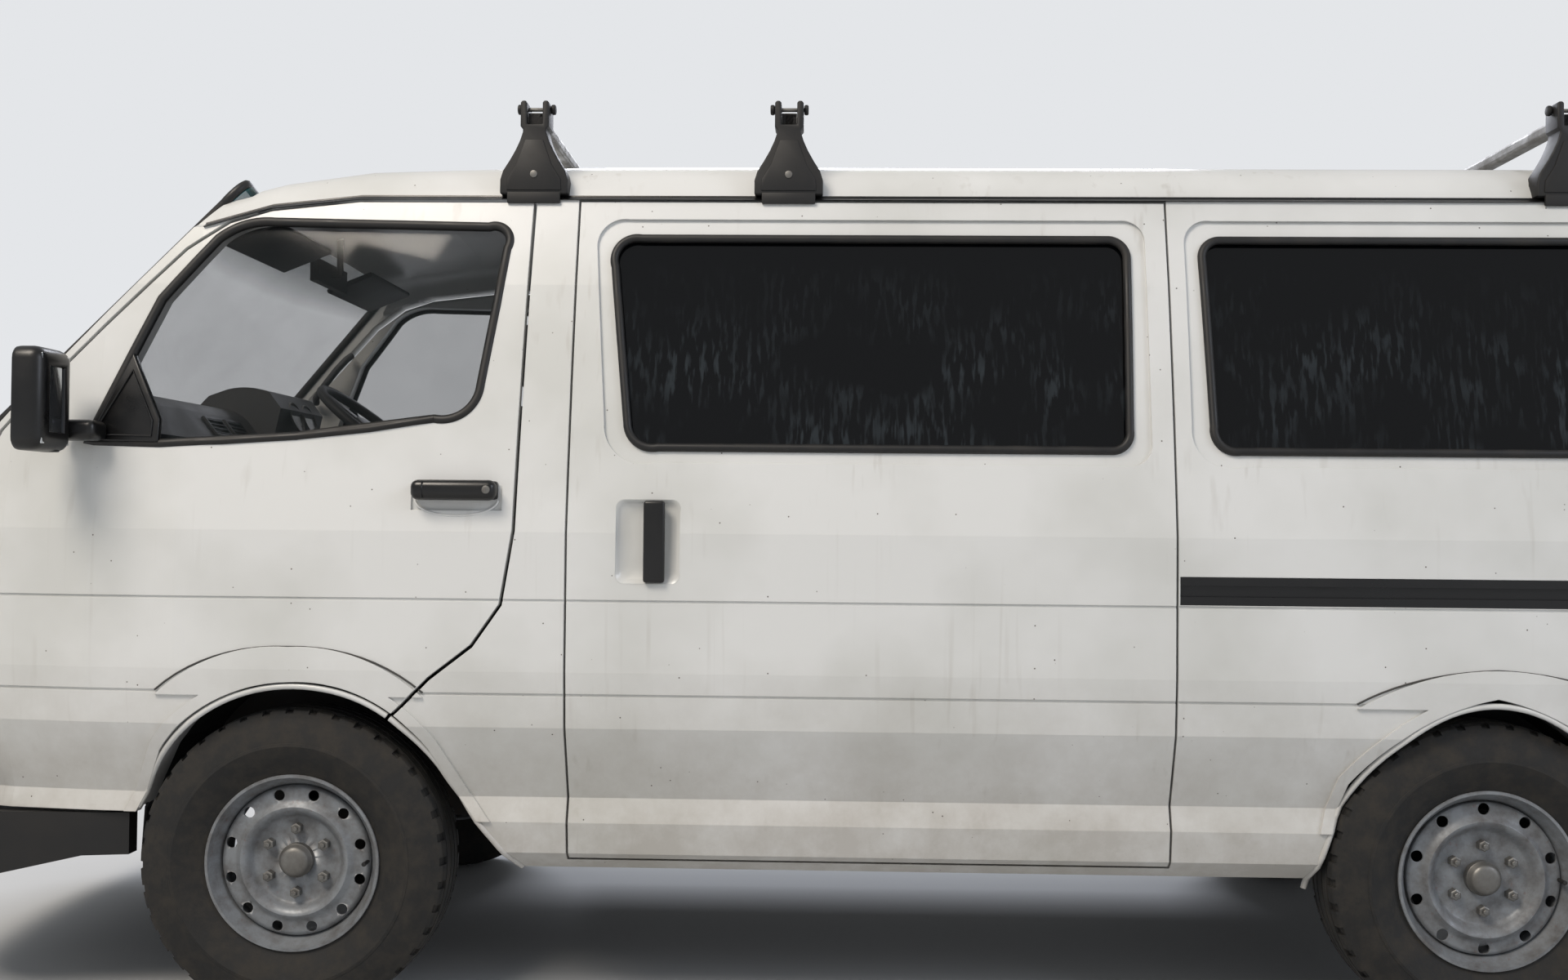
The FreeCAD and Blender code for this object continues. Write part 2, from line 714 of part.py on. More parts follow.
# Underframe
rail_y = (330.0, 390.0)
rail_line = [(-960, 380), (430, 380), (600, 500), (3540, 500), (3540, 600), (470, 600), (300, 480),
             (-960, 480)]
bumper_bracket_z = (300.0, 380.0)
cross_members = [(-940, 400, 480), (720, 520, 600), (1400, 520, 600), (1980, 520, 600), (2860, 520, 600),
                 (3490, 520, 600)]


def frame_rails():
    """Two rails with crossmembers; the brackets at their ends are cut to the bumpers."""
    left = prism_y(rail_line, -rail_y[1], -rail_y[0])
    ends = [box(at(-1010), at(-900), -rail_y[1], -rail_y[0], *bumper_bracket_z),
            box(at(3500), at(3640), -rail_y[1], -rail_y[0], 510, 590)]
    left = fuse([left] + [end.cut(front_bumper()).cut(rear_bumper()) for end in ends])
    members = [box(at(b), at(b + 50), -rail_y[0], rail_y[0], z0, z1) for b, z0, z1 in cross_members]
    return fuse([left, flipped(left)] + members)


# Engine, gearbox and shaft
engine_back = (-180.0, 400.0)
engine_half = 225.0
engine_height = (345.0, 795.0)
mount_z = 425.0


def engine_block():
    b0, b1 = engine_back
    block = box(at(b0), at(b1), -engine_half, engine_half, *engine_height)
    upright = [e for e in block.Edges if abs(e.tangentAt(e.FirstParameter).z) > 0.9]
    block = block.makeChamfer(40, upright)
    lugs = [box(at(80), at(150), *sorted((s * (engine_half - 5), s * rail_y[0])), mount_z - 20, mount_z + 20)
            for s in (-1, 1)]
    return fuse([block] + lugs)


bell_z = 440.0
shaft_z = 385.0
gearbox_end = 900.0
axle_nose = 2395.0
axle_tube = 42.0


def driveline():
    bell = Part.makeCone(150, 85, 260, vec(at(engine_back[1]), 0, bell_z), vec(1, 0, 0))
    case = prism_y([(640, 340), (gearbox_end, 345), (gearbox_end, 430), (640, 510)], -80, 80)
    shaft_start = vec(at(gearbox_end - 60), 0, shaft_z)
    run = vec(at(axle_nose + 60), 0, wheel_z) - shaft_start
    shaft = rod(shaft_start, run, 34, run.Length)
    shaft = shaft.common(box(at(gearbox_end - 30), at(axle_nose), -60, 60, 200, 600))
    return fuse([bell, case, shaft])


# Tank and exhaust
tank_back = (800.0, 1480.0)
tank_y = (-640.0, -410.0)
tank_height = (330.0, 505.0)


def fuel_tank():
    body = box(at(tank_back[0]), at(tank_back[1]), *tank_y, *tank_height)
    body = body.makeFillet(35, [e for e in body.Edges if abs(e.tangentAt(e.FirstParameter).x) > 0.9])
    top = load_floor_z - sheet
    straps = [box(at(b), at(b + 40), y, y + 20, tank_height[1] - 60, top)
              for b in (930.0, 1310.0) for y in (tank_y[0] + 10, tank_y[1] - 30)]
    return fuse([body] + straps)


exhaust_y = 250.0
exhaust_z = 415.0
exhaust_pipe = 22.0


def exhaust():
    pipe = rod(vec(at(300), exhaust_y, exhaust_z), vec(1, 0, 0), exhaust_pipe, 2500)
    down = rod(vec(at(322), engine_half, exhaust_z), vec(0, 1, 0), exhaust_pipe, exhaust_y - engine_half)
    silencer = rod(vec(at(1470), exhaust_y, exhaust_z), vec(1, 0, 0), 72, 480)
    hangers = [box(at(b + 15), at(b + 35), exhaust_y - 6, exhaust_y + 6, exhaust_z + 10, 520)
               for b in (720.0, 1980.0)]
    return fuse([pipe, down, silencer] + hangers)


# Rear axle on leaf springs
drum_radius = 138.0
stub_radius = 22.0
hub_face = 718.0
spring_y = (470.0, 530.0)
spring_half = 600.0
spring_eye_z = 470.0


def rear_axle():
    centre = vec(rear_axle_x, 0, wheel_z)
    tube = rod(vec(rear_axle_x, -650, wheel_z), vec(0, 1, 0), axle_tube, 1300)
    case = ring([(-125, 60), (-90, 105), (-45, 132), (45, 132), (90, 105), (125, 60), (125, 0), (-125, 0)],
                centre)
    nose_length = wheelbase - axle_nose
    nose = Part.makeCone(50, 92, nose_length, vec(at(axle_nose), 0, wheel_z), vec(1, 0, 0))
    drums = []
    for side in (-1, 1):
        drums.append(rod(vec(rear_axle_x, side * 640, wheel_z), vec(0, side, 0), drum_radius, 58))
        drums.append(rod(vec(rear_axle_x, side * 690, wheel_z), vec(0, side, 0), stub_radius, 84))
    return fuse([tube, case, nose] + drums)


def leaf_spring():
    seat = wheel_z + axle_tube + seat_gap
    y0, y1 = spring_y
    low = [(-spring_half, spring_eye_z - 6), (0, seat, -spring_half / 2, seat + 22),
           (spring_half, spring_eye_z - 6, spring_half / 2, seat + 22)]
    high = [(spring_half, spring_eye_z + 6), (0, seat + 40, spring_half / 2, seat + 52),
            (-spring_half, spring_eye_z + 6, -spring_half / 2, seat + 52)]
    leaves = prism_y([tuple(v + wheelbase if i % 2 == 0 else v for i, v in enumerate(p)) for p in low + high],
                     -y1, -y0)
    top = load_floor_z - sheet
    parts = [leaves]
    for end in (-1, 1):
        b = wheelbase + end * spring_half
        parts.append(rod(vec(at(b), -y1 - 6, spring_eye_z), vec(0, 1, 0), 24, y1 - y0 + 12))
        parts.append(box(at(b - 24), at(b + 24), -y1 - 6, -y1 + 6, spring_eye_z, top))
        parts.append(box(at(b - 24), at(b + 24), -y0 - 6, -y0 + 6, spring_eye_z, top))
    return fuse(parts)


# Front suspension: crossmember, arms and the ball joints that the knuckles turn on
kingpin_y = 665.0
arm_low_z = (216.0, 246.0)
arm_high_z = (436.0, 456.0)
ball_pin = 10.0
ball_gap = 6.0
steer_rack_z = 300.0


def front_suspension():
    cross = box(at(-80), at(80), -rail_y[1], rail_y[1], 240, 330)
    pieces = [cross]
    for side in (-1, 1):
        pieces.append(box(at(-70), at(70), *sorted((side * rail_y[0], side * rail_y[1])), 330, 380))
        low = prism_z([(-110, side * 380), (110, side * 380), (28, side * kingpin_y),
                       (-28, side * kingpin_y)], *arm_low_z)
        high = prism_z([(-75, side * rail_y[1]), (75, side * rail_y[1]), (24, side * kingpin_y),
                        (-24, side * kingpin_y)], *arm_high_z)
        pieces += [low, high]
        for z0, z1 in (arm_low_z, arm_high_z):
            pieces.append(rod(vec(front_axle_x, side * kingpin_y, z0), vec(0, 0, 1), 28, z1 - z0))
        for z in (arm_low_z[0], arm_high_z[1] - 60):
            pieces.append(rod(vec(front_axle_x, side * kingpin_y, z), vec(0, 0, 1), ball_pin, 60))
        outside = sorted((side * rail_y[1], side * (rail_y[1] + 14)))
        pieces.append(box(at(-75), at(75), *outside, 245, arm_high_z[1]))
    pieces.append(rod(vec(at(115), -400, steer_rack_z), vec(0, 1, 0), 26, 800))
    pieces.append(box(at(70), at(115), -60, 60, 280, 320))
    return fuse(pieces)


def knuckle():
    """Left steering knuckle."""
    y = -kingpin_y
    z0 = arm_low_z[1] + ball_gap
    z1 = arm_high_z[0] - ball_gap
    upright = box(at(-32), at(32), y - 24, y + 24, z0, z1)
    hub = rod(vec(front_axle_x, y, wheel_z), vec(0, -1, 0), 50, hub_face - 6 - kingpin_y)
    stub = rod(vec(front_axle_x, y, wheel_z), vec(0, -1, 0), stub_radius, front_half_track + 38 - kingpin_y)
    lever = box(at(30), at(140), y - 12, y + 12, z0 + 8, z0 + 30)
    body = fuse([upright, hub, stub, lever])
    return body.cut(rod(vec(front_axle_x, y, z0 - 20), vec(0, 0, 1), ball_pin + seat_gap, z1 - z0 + 40))


# Wheels. Profiles are (outwards from the middle of the wheel, radius).
rim_radius = 192.0
hole_count = 12
hole_circle = 147.0
hole_radius = 12.0
slot_count = 10
slot_circle = 149.0
slot_radius = 12.0
# The profiles are straight runs, which keep the turned faces few.
tyre_bead = 66.0
flange_gap = 0.3
tyre_profile = [(-tyre_bead, rim_radius - 4), (-tyre_bead, rim_radius + 2), (-97, 256), (-76, tyre_radius),
                (76, tyre_radius), (97, 256), (tyre_bead, rim_radius + 2), (tyre_bead, rim_radius - 4)]
flange_in = tyre_bead + flange_gap
flange_out = flange_in + 5.7
rim_profile = [(-flange_out, rim_radius), (-flange_in, rim_radius), (-flange_in, rim_radius - 5), (-28, 170),
               (28, 170), (flange_in, rim_radius - 5), (flange_in, rim_radius), (flange_out, rim_radius),
               (flange_out, rim_radius - 8), (30, 164), (-30, 164), (-flange_out, rim_radius - 8)]
front_disc = [(24, 167), (34, 172), (45, 163), (45, 130), (56, 122), (56, 114), (42, 100), (42, 34), (34, 34),
              (34, 102), (49, 117), (38, 128), (38, 162)]
rear_disc = [(24, 167), (34, 172), (43, 164), (43, 134), (57, 128), (57, 120), (42, 106), (42, 34), (34, 34),
             (34, 108), (50, 122), (36, 132), (36, 163)]
hub_profile = [(-14, 92), (36, 70), (36, stub_radius + seat_gap), (-14, stub_radius + seat_gap)]
cap_profile = [(35, stub_radius + seat_gap), (35, 36), (58, 30), (64, 20), (64, 0), (59, 0), (59, 18),
               (54, stub_radius + seat_gap)]


def wheel_centre(axle_x, half_track):
    return vec(axle_x, -half_track, wheel_z)


def tyre(axle_x, half_track):
    return ring(tyre_profile, wheel_centre(axle_x, half_track), vec(0, -1, 0))


def rim(axle_x, half_track, front):
    centre = wheel_centre(axle_x, half_track)
    out = vec(0, -1, 0)
    disc = ring(front_disc if front else rear_disc, centre, out)
    count = hole_count if front else slot_count
    circle = hole_circle if front else slot_circle
    holes = []
    for k in range(count):
        turn = 2 * math.pi * (k + 0.5) / count
        spot = centre + vec(circle * math.cos(turn), -20, circle * math.sin(turn))
        holes.append(rod(spot, out, hole_radius if front else slot_radius, 60))
    disc = disc.cut(holes)
    return fuse([ring(rim_profile, centre, out), disc, ring(hub_profile, centre, out),
                 ring(cap_profile, centre, out)])


def spare_wheel():
    centre = vec(at(3175), 0, 392)
    profile = [(a * 0.9, r * 0.97) for a, r in ((-66, 60), (-66, 196), (-92, 262), (-66, 336), (66, 336),
                                                (92, 262), (66, 196), (40, 60))]
    body = ring(profile, centre, vec(0, 0, 1))
    hanger = box(at(3150), at(3200), -90, 90, 432, 440)
    chain = rod(vec(at(3175), 0, 436), vec(0, 0, 1), 8, load_floor_z - sheet - 436)
    return fuse([body, hanger, chain])


# Cab: dashboard, steering wheel, seats and mirror
dash_line = [(-920, 1225), (-920, 1172), (-850, 1150), (-850, 930), (-560, 880), (-500, 960), (-470, 1190),
             (-440, 1285), (-500, 1362), (-600, 1392, -545, 1390), (-745, 1318)]
hood_line = [(-720, 1320), (-650, 1420), (-560, 1452), (-440, 1446, -500, 1458), (-405, 1400), (-430, 1290)]
driver_y = 380.0
wheel_middle = (-190.0, 1352.0)
steering_radius = 185.0
steering_rim = 15.0
column_lean = 52.0
column_length = 548.0


def dashboard():
    body = fuse([prism_y(dash_line, -760, 760), prism_y(hood_line, driver_y - 180, driver_y + 180)])
    space = envelope(wall=True, depth=door_clear).common(behind_nose(nose_wall + seat_gap))
    pocket = box(at(door_front - 60), at(door_front + 40), -780, hinge_y + 78,
                 hinge_heights[1] - hinge_leaf - 3, hinge_heights[1] + hinge_leaf + 3)
    return body.common(space).cut(pocket).cut(flipped(pocket))


def steering_wheel():
    lean = math.radians(column_lean)
    axis = vec(math.cos(lean), 0, math.sin(lean))
    middle = vec(at(wheel_middle[0]), driver_y, wheel_middle[1])
    turns = [math.radians(22.5 + 45 * k) for k in range(8)]
    rim_section = [(steering_rim * math.cos(t), steering_radius + steering_rim * math.sin(t)) for t in turns]
    rim_ring = ring(rim_section, middle, axis)
    boss = rod(middle - axis * 45, axis, 52, 50)
    spokes = []
    for turn in (0, 120, 240):
        spoke = box(0, steering_radius, -16, 16, -8, 6)
        spoke.rotate(vec(0, 0, 0), vec(0, 0, 1), turn)
        tilt = FreeCAD.Placement(middle, FreeCAD.Rotation(vec(0, 0, 1), axis))
        spoke.Placement = tilt.multiply(spoke.Placement)
        spokes.append(spoke)
    column = rod(middle - axis * column_length, axis, 34, column_length - 30)
    wheel = fuse([rim_ring, boss, column] + spokes).cut(dashboard())
    return max(wheel.Solids, key=lambda solid: solid.Volume)


# Columns: y0, y1 of each seat
seats = [("driver", 145.0, 625.0), ("bench", -625.0, 75.0)]
seat_back0 = -30.0
seat_back1 = 420.0
cushion_height = (902.0, 1030.0)
backrest_top = 1560.0


def seat_bases():
    return Part.makeCompound([box(at(seat_back0 + 30), at(seat_back1 - 20), y0 + 40, y1 - 40, deck_z,
                                  cushion_height[0] - seat_gap) for name, y0, y1 in seats])


def rounded_across(pad, radius):
    """Pad with its edges that run across the van rounded."""
    return pad.makeFillet(radius, [e for e in pad.Edges if abs(e.tangentAt(e.FirstParameter).y) > 0.9])


def seat_cushions():
    return Part.makeCompound([rounded_across(box(at(seat_back0), at(seat_back1), y0, y1, *cushion_height), 30)
                              for name, y0, y1 in seats])


def seat_backs():
    pads = []
    low = cushion_height[1] + seat_gap
    line = [(330, low), (425, low), (505, backrest_top - 190), (415, backrest_top - 190)]
    for name, y0, y1 in seats:
        pad = rounded_across(prism_y(line, y0 + 10, y1 - 10), 26)
        rests = []
        spots = [(y0 + y1) / 2] if name == "driver" else [y0 + 170, y1 - 170]
        for y in spots:
            rest = box(at(418), at(498), y - 125, y + 125, backrest_top - 175, backrest_top)
            rest = rounded_across(rest, 28)
            stem = box(at(445), at(470), y - 60, y + 60, backrest_top - 215, backrest_top - 165)
            rests += [rest, stem]
        pads.append(fuse([pad] + rests))
    return Part.makeCompound(pads)


inner_mirror_back = -205.0
inner_mirror_z = (1715.0, 1775.0)


def cab_fittings():
    """Inner mirror on a stalk that is cut to the roof lining."""
    b = inner_mirror_back
    z0, z1 = inner_mirror_z
    mirror = box(at(b - 11), at(b + 11), -120, 120, z0, z1)
    stalk = rod(vec(at(b + 30), 0, (z0 + z1) / 2), vec(0, 0, 1), 9, 300)
    link = box(at(b), at(b + 30), -9, 9, z1 - 35, z1 - 17)
    return fuse([mirror, stalk, link]).common(inner)


# Wipers lie on the windscreen. Columns: pivot y, pivot height, tip y, tip height.
wiper_lift = 18.0
wiper_radius = 6.0
wiper_rows = [(-610.0, 1196.0, 20.0, 1262.0), (40.0, 1190.0, 640.0, 1262.0)]


def screen_point(y, height, out):
    slope = vec(nose_back(1800) - nose_back(1200), 0, 600)
    slope.normalize()
    return vec(at(nose_back(height) + bow(y)), y, height) + vec(-slope.z, 0, slope.x) * out


def wipers():
    """Each arm runs from its pivot to the middle of the blade and on to the tip."""
    arms = []
    for y0, z0, y1, z1 in wiper_rows:
        post = rod(screen_point(y0, z0, -10), screen_point(y0, z0, 30) - screen_point(y0, z0, -10), 12, 34)
        post = post.cut(shell)
        spots = [screen_point(y0 + (y1 - y0) * t, z0 + (z1 - z0) * t, wiper_lift) for t in (0.0, 0.5, 1.0)]
        pieces = [post]
        for start, end in zip(spots, spots[1:]):
            pieces.append(rod(start, end - start, wiper_radius, (end - start).Length))
        pieces.append(Part.makeSphere(wiper_radius, spots[1]))
        arms.append(fuse(pieces))
    return Part.makeCompound(arms)


# Roof rack: feet clamped on the gutters, and bars across that lie in the open slot of each foot's head
rack_backs = [493.0, 1065.0, 2790.0]
foot_base = 153.0
foot_neck = 40.0
foot_head = 64.0
foot_height = (gutter_height + moulding_height, 1872.0, 1958.0, 1970.0, 2030.0)
foot_y = (-716.0, -655.0)
bar_height = (1976.0, 2004.0)
bar_width = 34.0
bar_reach = 700.0


def rack_foot(back):
    z0, z1, z2, z3, z4 = foot_height
    b = foot_base / 2
    n = foot_neck / 2
    h = foot_head / 2
    line = [(back - b, z0), (back + b, z0), (back + b, z1), (back + n, z2), (back + h, z3), (back + h, z4),
            (back - h, z4), (back - h, z3), (back - n, z2), (back - b, z1)]
    body = prism_y(line, *foot_y)
    w = bar_width / 2 + seat_gap
    slot = box(at(back - w), at(back + w), foot_y[0] - 1, foot_y[1] + 1, bar_height[0] - seat_gap, z4 + 1)
    return body.cut(envelope(depth=-seat_gap)).cut(gutters).cut(slot)


def rack_bar(back):
    w = bar_width / 2
    bar = box(at(back - w), at(back + w), -bar_reach, bar_reach, *bar_height)
    return bar.makeFillet(8, [e for e in bar.Edges if abs(e.tangentAt(e.FirstParameter).y) > 0.9])


# Build
os.makedirs("parts", exist_ok=True)
gutters = gutter_mouldings()
screen_cut = prism_x(screen_outline, nose_front, 0).cut(behind_nose(nose_wall + 1))
panels = shell.cut(arches).cut(gutters).cut(screen_cut).cut(creases)
doors_cut = grown(door_outline, shut_gap + 0.5, -950, -500)
doors_cut = doors_cut.fuse(flipped(doors_cut))
slides_cut = grown(slide_outline, panel_gap + 0.01, -950, -500)
tail_cut = grown_x(tailgate_outline, shut_gap, tail_start, rear_end + 60)
tail_cut = tail_cut.cut(ahead_of_tail(rear_wall + shut_gap))

roof = panels.common(roof_space).cut(tail_cut)
below_roof = panels.cut(roof_space)
pillars = below_roof.common(box(at(-1150), at(0), -950, 950, cowl_height, 2000)).cut(doors_cut)
nose = below_roof.common(box(at(nose_front), at(door_front - shut_gap), -950, 950, nose_bottom, cowl_height))
lamp_cut = grown_x(head_lamp, 0, nose_front, lamp_back)
nose = nose.cut(lamp_cut).cut(flipped(lamp_cut)).cut(grown_x(grille_outline, 0, nose_front, nose_rear))
nose = nose.cut(grown_x(lid_outline, shut_gap, nose_front, lid_opening_rear))

side = below_roof.common(box(at(200), at(rear_end + 20), -950, 0, 200, 2000))
side = side.cut(doors_cut).cut(slides_cut).cut(tail_cut)
side = side.cut(box(at(rear_bumper_front - panel_gap), at(far), -950, 0, 100, tailgate_bottom - shut_gap))
side = side.cut(box(at(tail_start), at(far), -690, 0, 100, 700))
side = side.cut(recess_layer.common(prism_y(quarter_recess, -950, -500)))
side = side.cut(prism_y(quarter_window, -950, -500))
side = side.cut(envelope(depth=-1).cut(envelope(depth=slide_rail_depth + seat_gap)).common(
    grown(slide_rail, 0, -950, -500)))
side = side.cut(flipped(grown_x(tail_lamp, seat_gap, tail_lamp_back - seat_gap, rear_end + 60)))

lamps = head_lamps()
hinge_solids = [h.cut(nose).cut(lamps) for h in front_door_hinges().Solids]
hinge_solids += [flipped(h) for h in hinge_solids]
hinge_solids += [h.cut(roof) for h in tail_hinges().Solids]
hinge_solids += [lid_hinge(y).cut(nose).cut(pillars) for y in lid_hinge_y]

left_door = front_door().cut(door_handle_pocket())
left_slide = sliding_door().cut(pull_pocket())
left_glass = door_glass().cut(door_mirror())
left_trim = Part.makeCompound([door_mirror(), door_handle()])

parts = {
    "roof": roof,
    "screen_frame": pillars,
    "nose_panel": nose,
    "front_lid": front_lid(),
    "grille": grille(),
    "head_lamps": lamps,
    "front_bumper": front_bumper(),
    "side_left": side,
    "side_right": flipped(side),
    "sliding_doors": both_sides(left_slide),
    "body_glass": Part.makeCompound([windscreen(), sliding_glass(), quarter_glass(), flipped(sliding_glass()),
                                     flipped(quarter_glass())]),
    "slide_fittings": slide_fittings(),
    "gutter_mouldings": gutters,
    "tail_lamps": tail_lamps(),
    "rear_bumper": rear_bumper(),
    "hinges": Part.makeCompound(hinge_solids),
    "floor_pan": floor_pan(),
    "arch_liners": arch_liners(),
    "frame_rails": frame_rails(),
    "engine_block": engine_block(),
    "driveline": driveline(),
    "fuel_tank": fuel_tank(),
    "exhaust": exhaust(),
    "rear_axle": rear_axle(),
    "leaf_springs": both_sides(leaf_spring()),
    "front_suspension": front_suspension(),
    "spare_wheel": spare_wheel(),
    "dashboard": dashboard(),
    "steering_wheel": steering_wheel(),
    "seat_bases": seat_bases(),
    "seat_cushions": seat_cushions(),
    "seat_backs": seat_backs(),
    "cab_fittings": cab_fittings(),
    "wipers": wipers(),
    "rack_feet": Part.makeCompound([f for b in rack_backs for f in (rack_foot(b), flipped(rack_foot(b)))]),
    "rack_bars": Part.makeCompound([rack_bar(b) for b in rack_backs]),
    "door_left": left_door,
    "door_right": flipped(left_door),
    "door_glass_left": left_glass,
    "door_glass_right": flipped(left_glass),
    "door_trim_left": left_trim,
    "door_trim_right": flipped(left_trim),
    "tailgate": tailgate(),
    "tailgate_glass": tailgate_glass(),
    "knuckle_left": knuckle(),
    "knuckle_right": flipped(knuckle()),
}
axles = [("front", front_axle_x, front_half_track), ("rear", rear_axle_x, rear_half_track)]
for axle, axle_x, half_track in axles:
    left_tyre = tyre(axle_x, half_track)
    left_rim = rim(axle_x, half_track, axle == "front")
    parts["tyre_" + axle + "_left"] = left_tyre
    parts["tyre_" + axle + "_right"] = flipped(left_tyre)
    parts["rim_" + axle + "_left"] = left_rim
    parts["rim_" + axle + "_right"] = flipped(left_rim)

for name, shape in parts.items():
    save(name, shape)
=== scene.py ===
import json
import math

import bpy
from mathutils import Matrix, Vector


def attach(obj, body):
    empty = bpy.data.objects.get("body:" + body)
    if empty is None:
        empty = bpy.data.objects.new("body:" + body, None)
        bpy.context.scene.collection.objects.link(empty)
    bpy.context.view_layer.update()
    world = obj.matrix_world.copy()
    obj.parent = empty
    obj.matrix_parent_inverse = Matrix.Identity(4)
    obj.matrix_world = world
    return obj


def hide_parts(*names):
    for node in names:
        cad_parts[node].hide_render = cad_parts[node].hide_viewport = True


# Panel van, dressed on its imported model. Metres; X runs back, the left side is at -Y, the ground is Z = 0.

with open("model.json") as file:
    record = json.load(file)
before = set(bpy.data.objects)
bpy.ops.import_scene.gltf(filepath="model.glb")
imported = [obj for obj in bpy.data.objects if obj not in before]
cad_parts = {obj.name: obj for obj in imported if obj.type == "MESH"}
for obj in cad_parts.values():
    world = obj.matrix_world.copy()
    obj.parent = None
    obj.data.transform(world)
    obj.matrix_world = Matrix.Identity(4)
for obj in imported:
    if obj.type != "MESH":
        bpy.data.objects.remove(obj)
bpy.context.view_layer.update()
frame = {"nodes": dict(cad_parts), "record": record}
nodes = frame["nodes"]
mm = 0.001
frontAxle = -1.3075
rearAxle = 1.2625
wheelHeight = 0.336
wheelbase = round((rearAxle - frontAxle) / mm)
bodyOf = {node: body for body, members in frame["record"]["behaviour"]["bodies"].items()
          for node in members}
print("frame loaded:", len(nodes), "nodes")


def spot(back, y, z):  # all in millimetres: behind the front axle, across, above the ground
    return Vector((frontAxle + back * mm, y * mm, z * mm))


def clearSelection():
    if bpy.context.object and bpy.context.object.mode != "OBJECT":
        bpy.ops.object.mode_set(mode="OBJECT")
    bpy.ops.object.select_all(action="DESELECT")


def pick(piece):
    clearSelection()
    piece.select_set(True)
    bpy.context.view_layer.objects.active = piece


def editAll(piece):
    pick(piece)
    bpy.ops.object.mode_set(mode="EDIT")
    bpy.ops.mesh.select_mode(type="VERT")
    bpy.ops.mesh.select_all(action="SELECT")


def selectFaces(piece, test):  # leaves the piece in edit mode with those faces selected
    pick(piece)
    bpy.ops.object.mode_set(mode="EDIT")
    bpy.ops.mesh.select_mode(type="FACE")
    bpy.ops.mesh.select_all(action="DESELECT")
    bpy.ops.object.mode_set(mode="OBJECT")
    for face in piece.data.polygons:
        face.select = test(face)
    bpy.ops.object.mode_set(mode="EDIT")


def keepFaces(piece, test):
    selectFaces(piece, lambda face: not test(face))
    bpy.ops.mesh.delete(type="FACE")
    bpy.ops.object.mode_set(mode="OBJECT")


def applyAll(piece):
    pick(piece)
    for mod in list(piece.modifiers):
        bpy.ops.object.modifier_apply(modifier=mod.name)
    bpy.ops.object.transform_apply(location=True, rotation=True, scale=True)


def smoothBy(piece, degrees=35):
    pick(piece)
    bpy.ops.object.shade_smooth_by_angle(angle=math.radians(degrees))


def joinAll(pieces):
    clearSelection()
    for piece in pieces:
        piece.select_set(True)
    bpy.context.view_layer.objects.active = pieces[0]
    if len(pieces) > 1:
        bpy.ops.object.join()
    return bpy.context.view_layer.objects.active


def ownCopy(piece):
    copy = piece.copy()
    copy.data = piece.data.copy()
    copy.hide_render = False
    copy.hide_viewport = False
    bpy.context.scene.collection.objects.link(copy)
    copy.hide_set(False)
    return copy


def turned(piece, degrees, axis="Z", shift=(0, 0, 0)):  # turned about the origin, then moved
    piece.matrix_world = Matrix.Translation(shift) @ Matrix.Rotation(math.radians(degrees), 4, axis)
    pick(piece)
    bpy.ops.object.transform_apply(location=True, rotation=True, scale=True)
    return piece


def turnInsideOut(piece):
    editAll(piece)
    bpy.ops.mesh.flip_normals()
    bpy.ops.object.mode_set(mode="OBJECT")


def mirrored(piece):  # the same piece on the right side
    copy = ownCopy(piece)
    copy.scale = (1, -1, 1)
    applyAll(copy)
    turnInsideOut(copy)
    return copy


def dress(piece, name, body, material, replaces=()):
    piece.name = name
    piece.data.name = name
    if material is not None:
        piece.data.materials.clear()
        piece.data.materials.append(material)
    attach(piece, body)
    if replaces:
        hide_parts(*replaces)
    return piece


def bothSides(piece, name, bodies, material, replaces=((), ())):
    right = mirrored(piece)
    dress(piece, name + "Left", bodies[0], material, replaces[0])
    dress(right, name + "Right", bodies[1], material, replaces[1])
    return piece, right


def nodeCopy(node):  # a merged copy of a CAD node, free of its frame keys
    copy = ownCopy(nodes[node])
    for key in list(copy.keys()):
        if key.startswith("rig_"):
            del copy[key]
    copy.parent = None
    editAll(copy)
    bpy.ops.mesh.customdata_custom_splitnormals_clear()
    bpy.ops.mesh.remove_doubles(threshold=0.00005)
    bpy.ops.object.mode_set(mode="OBJECT")
    return copy


def bevelEdges(piece, width, steps, degrees):  # rounds the edges that turn by more than that
    edges = piece.modifiers.new("edges", "BEVEL")
    edges.width = width
    edges.segments = steps
    edges.limit_method = "ANGLE"
    edges.angle_limit = math.radians(degrees)


def thicken(piece, thickness):  # makes a skin a sheet, on its inner side
    sheet = piece.modifiers.new("sheet", "SOLIDIFY")
    sheet.thickness = thickness
    sheet.offset = -1


def weld(piece, gap):  # merges near points and turns all faces outwards
    editAll(piece)
    bpy.ops.mesh.remove_doubles(threshold=gap)
    bpy.ops.mesh.normals_make_consistent(inside=False)
    bpy.ops.object.mode_set(mode="OBJECT")


def roundBox(low, high, radius=0.004, steps=3):
    clearSelection()
    size = high - low
    bpy.ops.mesh.primitive_cube_add(size=1, location=(low + high) / 2, scale=size)
    piece = bpy.context.object
    bpy.ops.object.transform_apply(location=True, rotation=True, scale=True)
    editAll(piece)
    bpy.ops.mesh.bevel(offset=min(radius, 0.48 * min(size)), segments=steps, affect="EDGES")
    bpy.ops.object.mode_set(mode="OBJECT")
    smoothBy(piece, 40)
    return piece


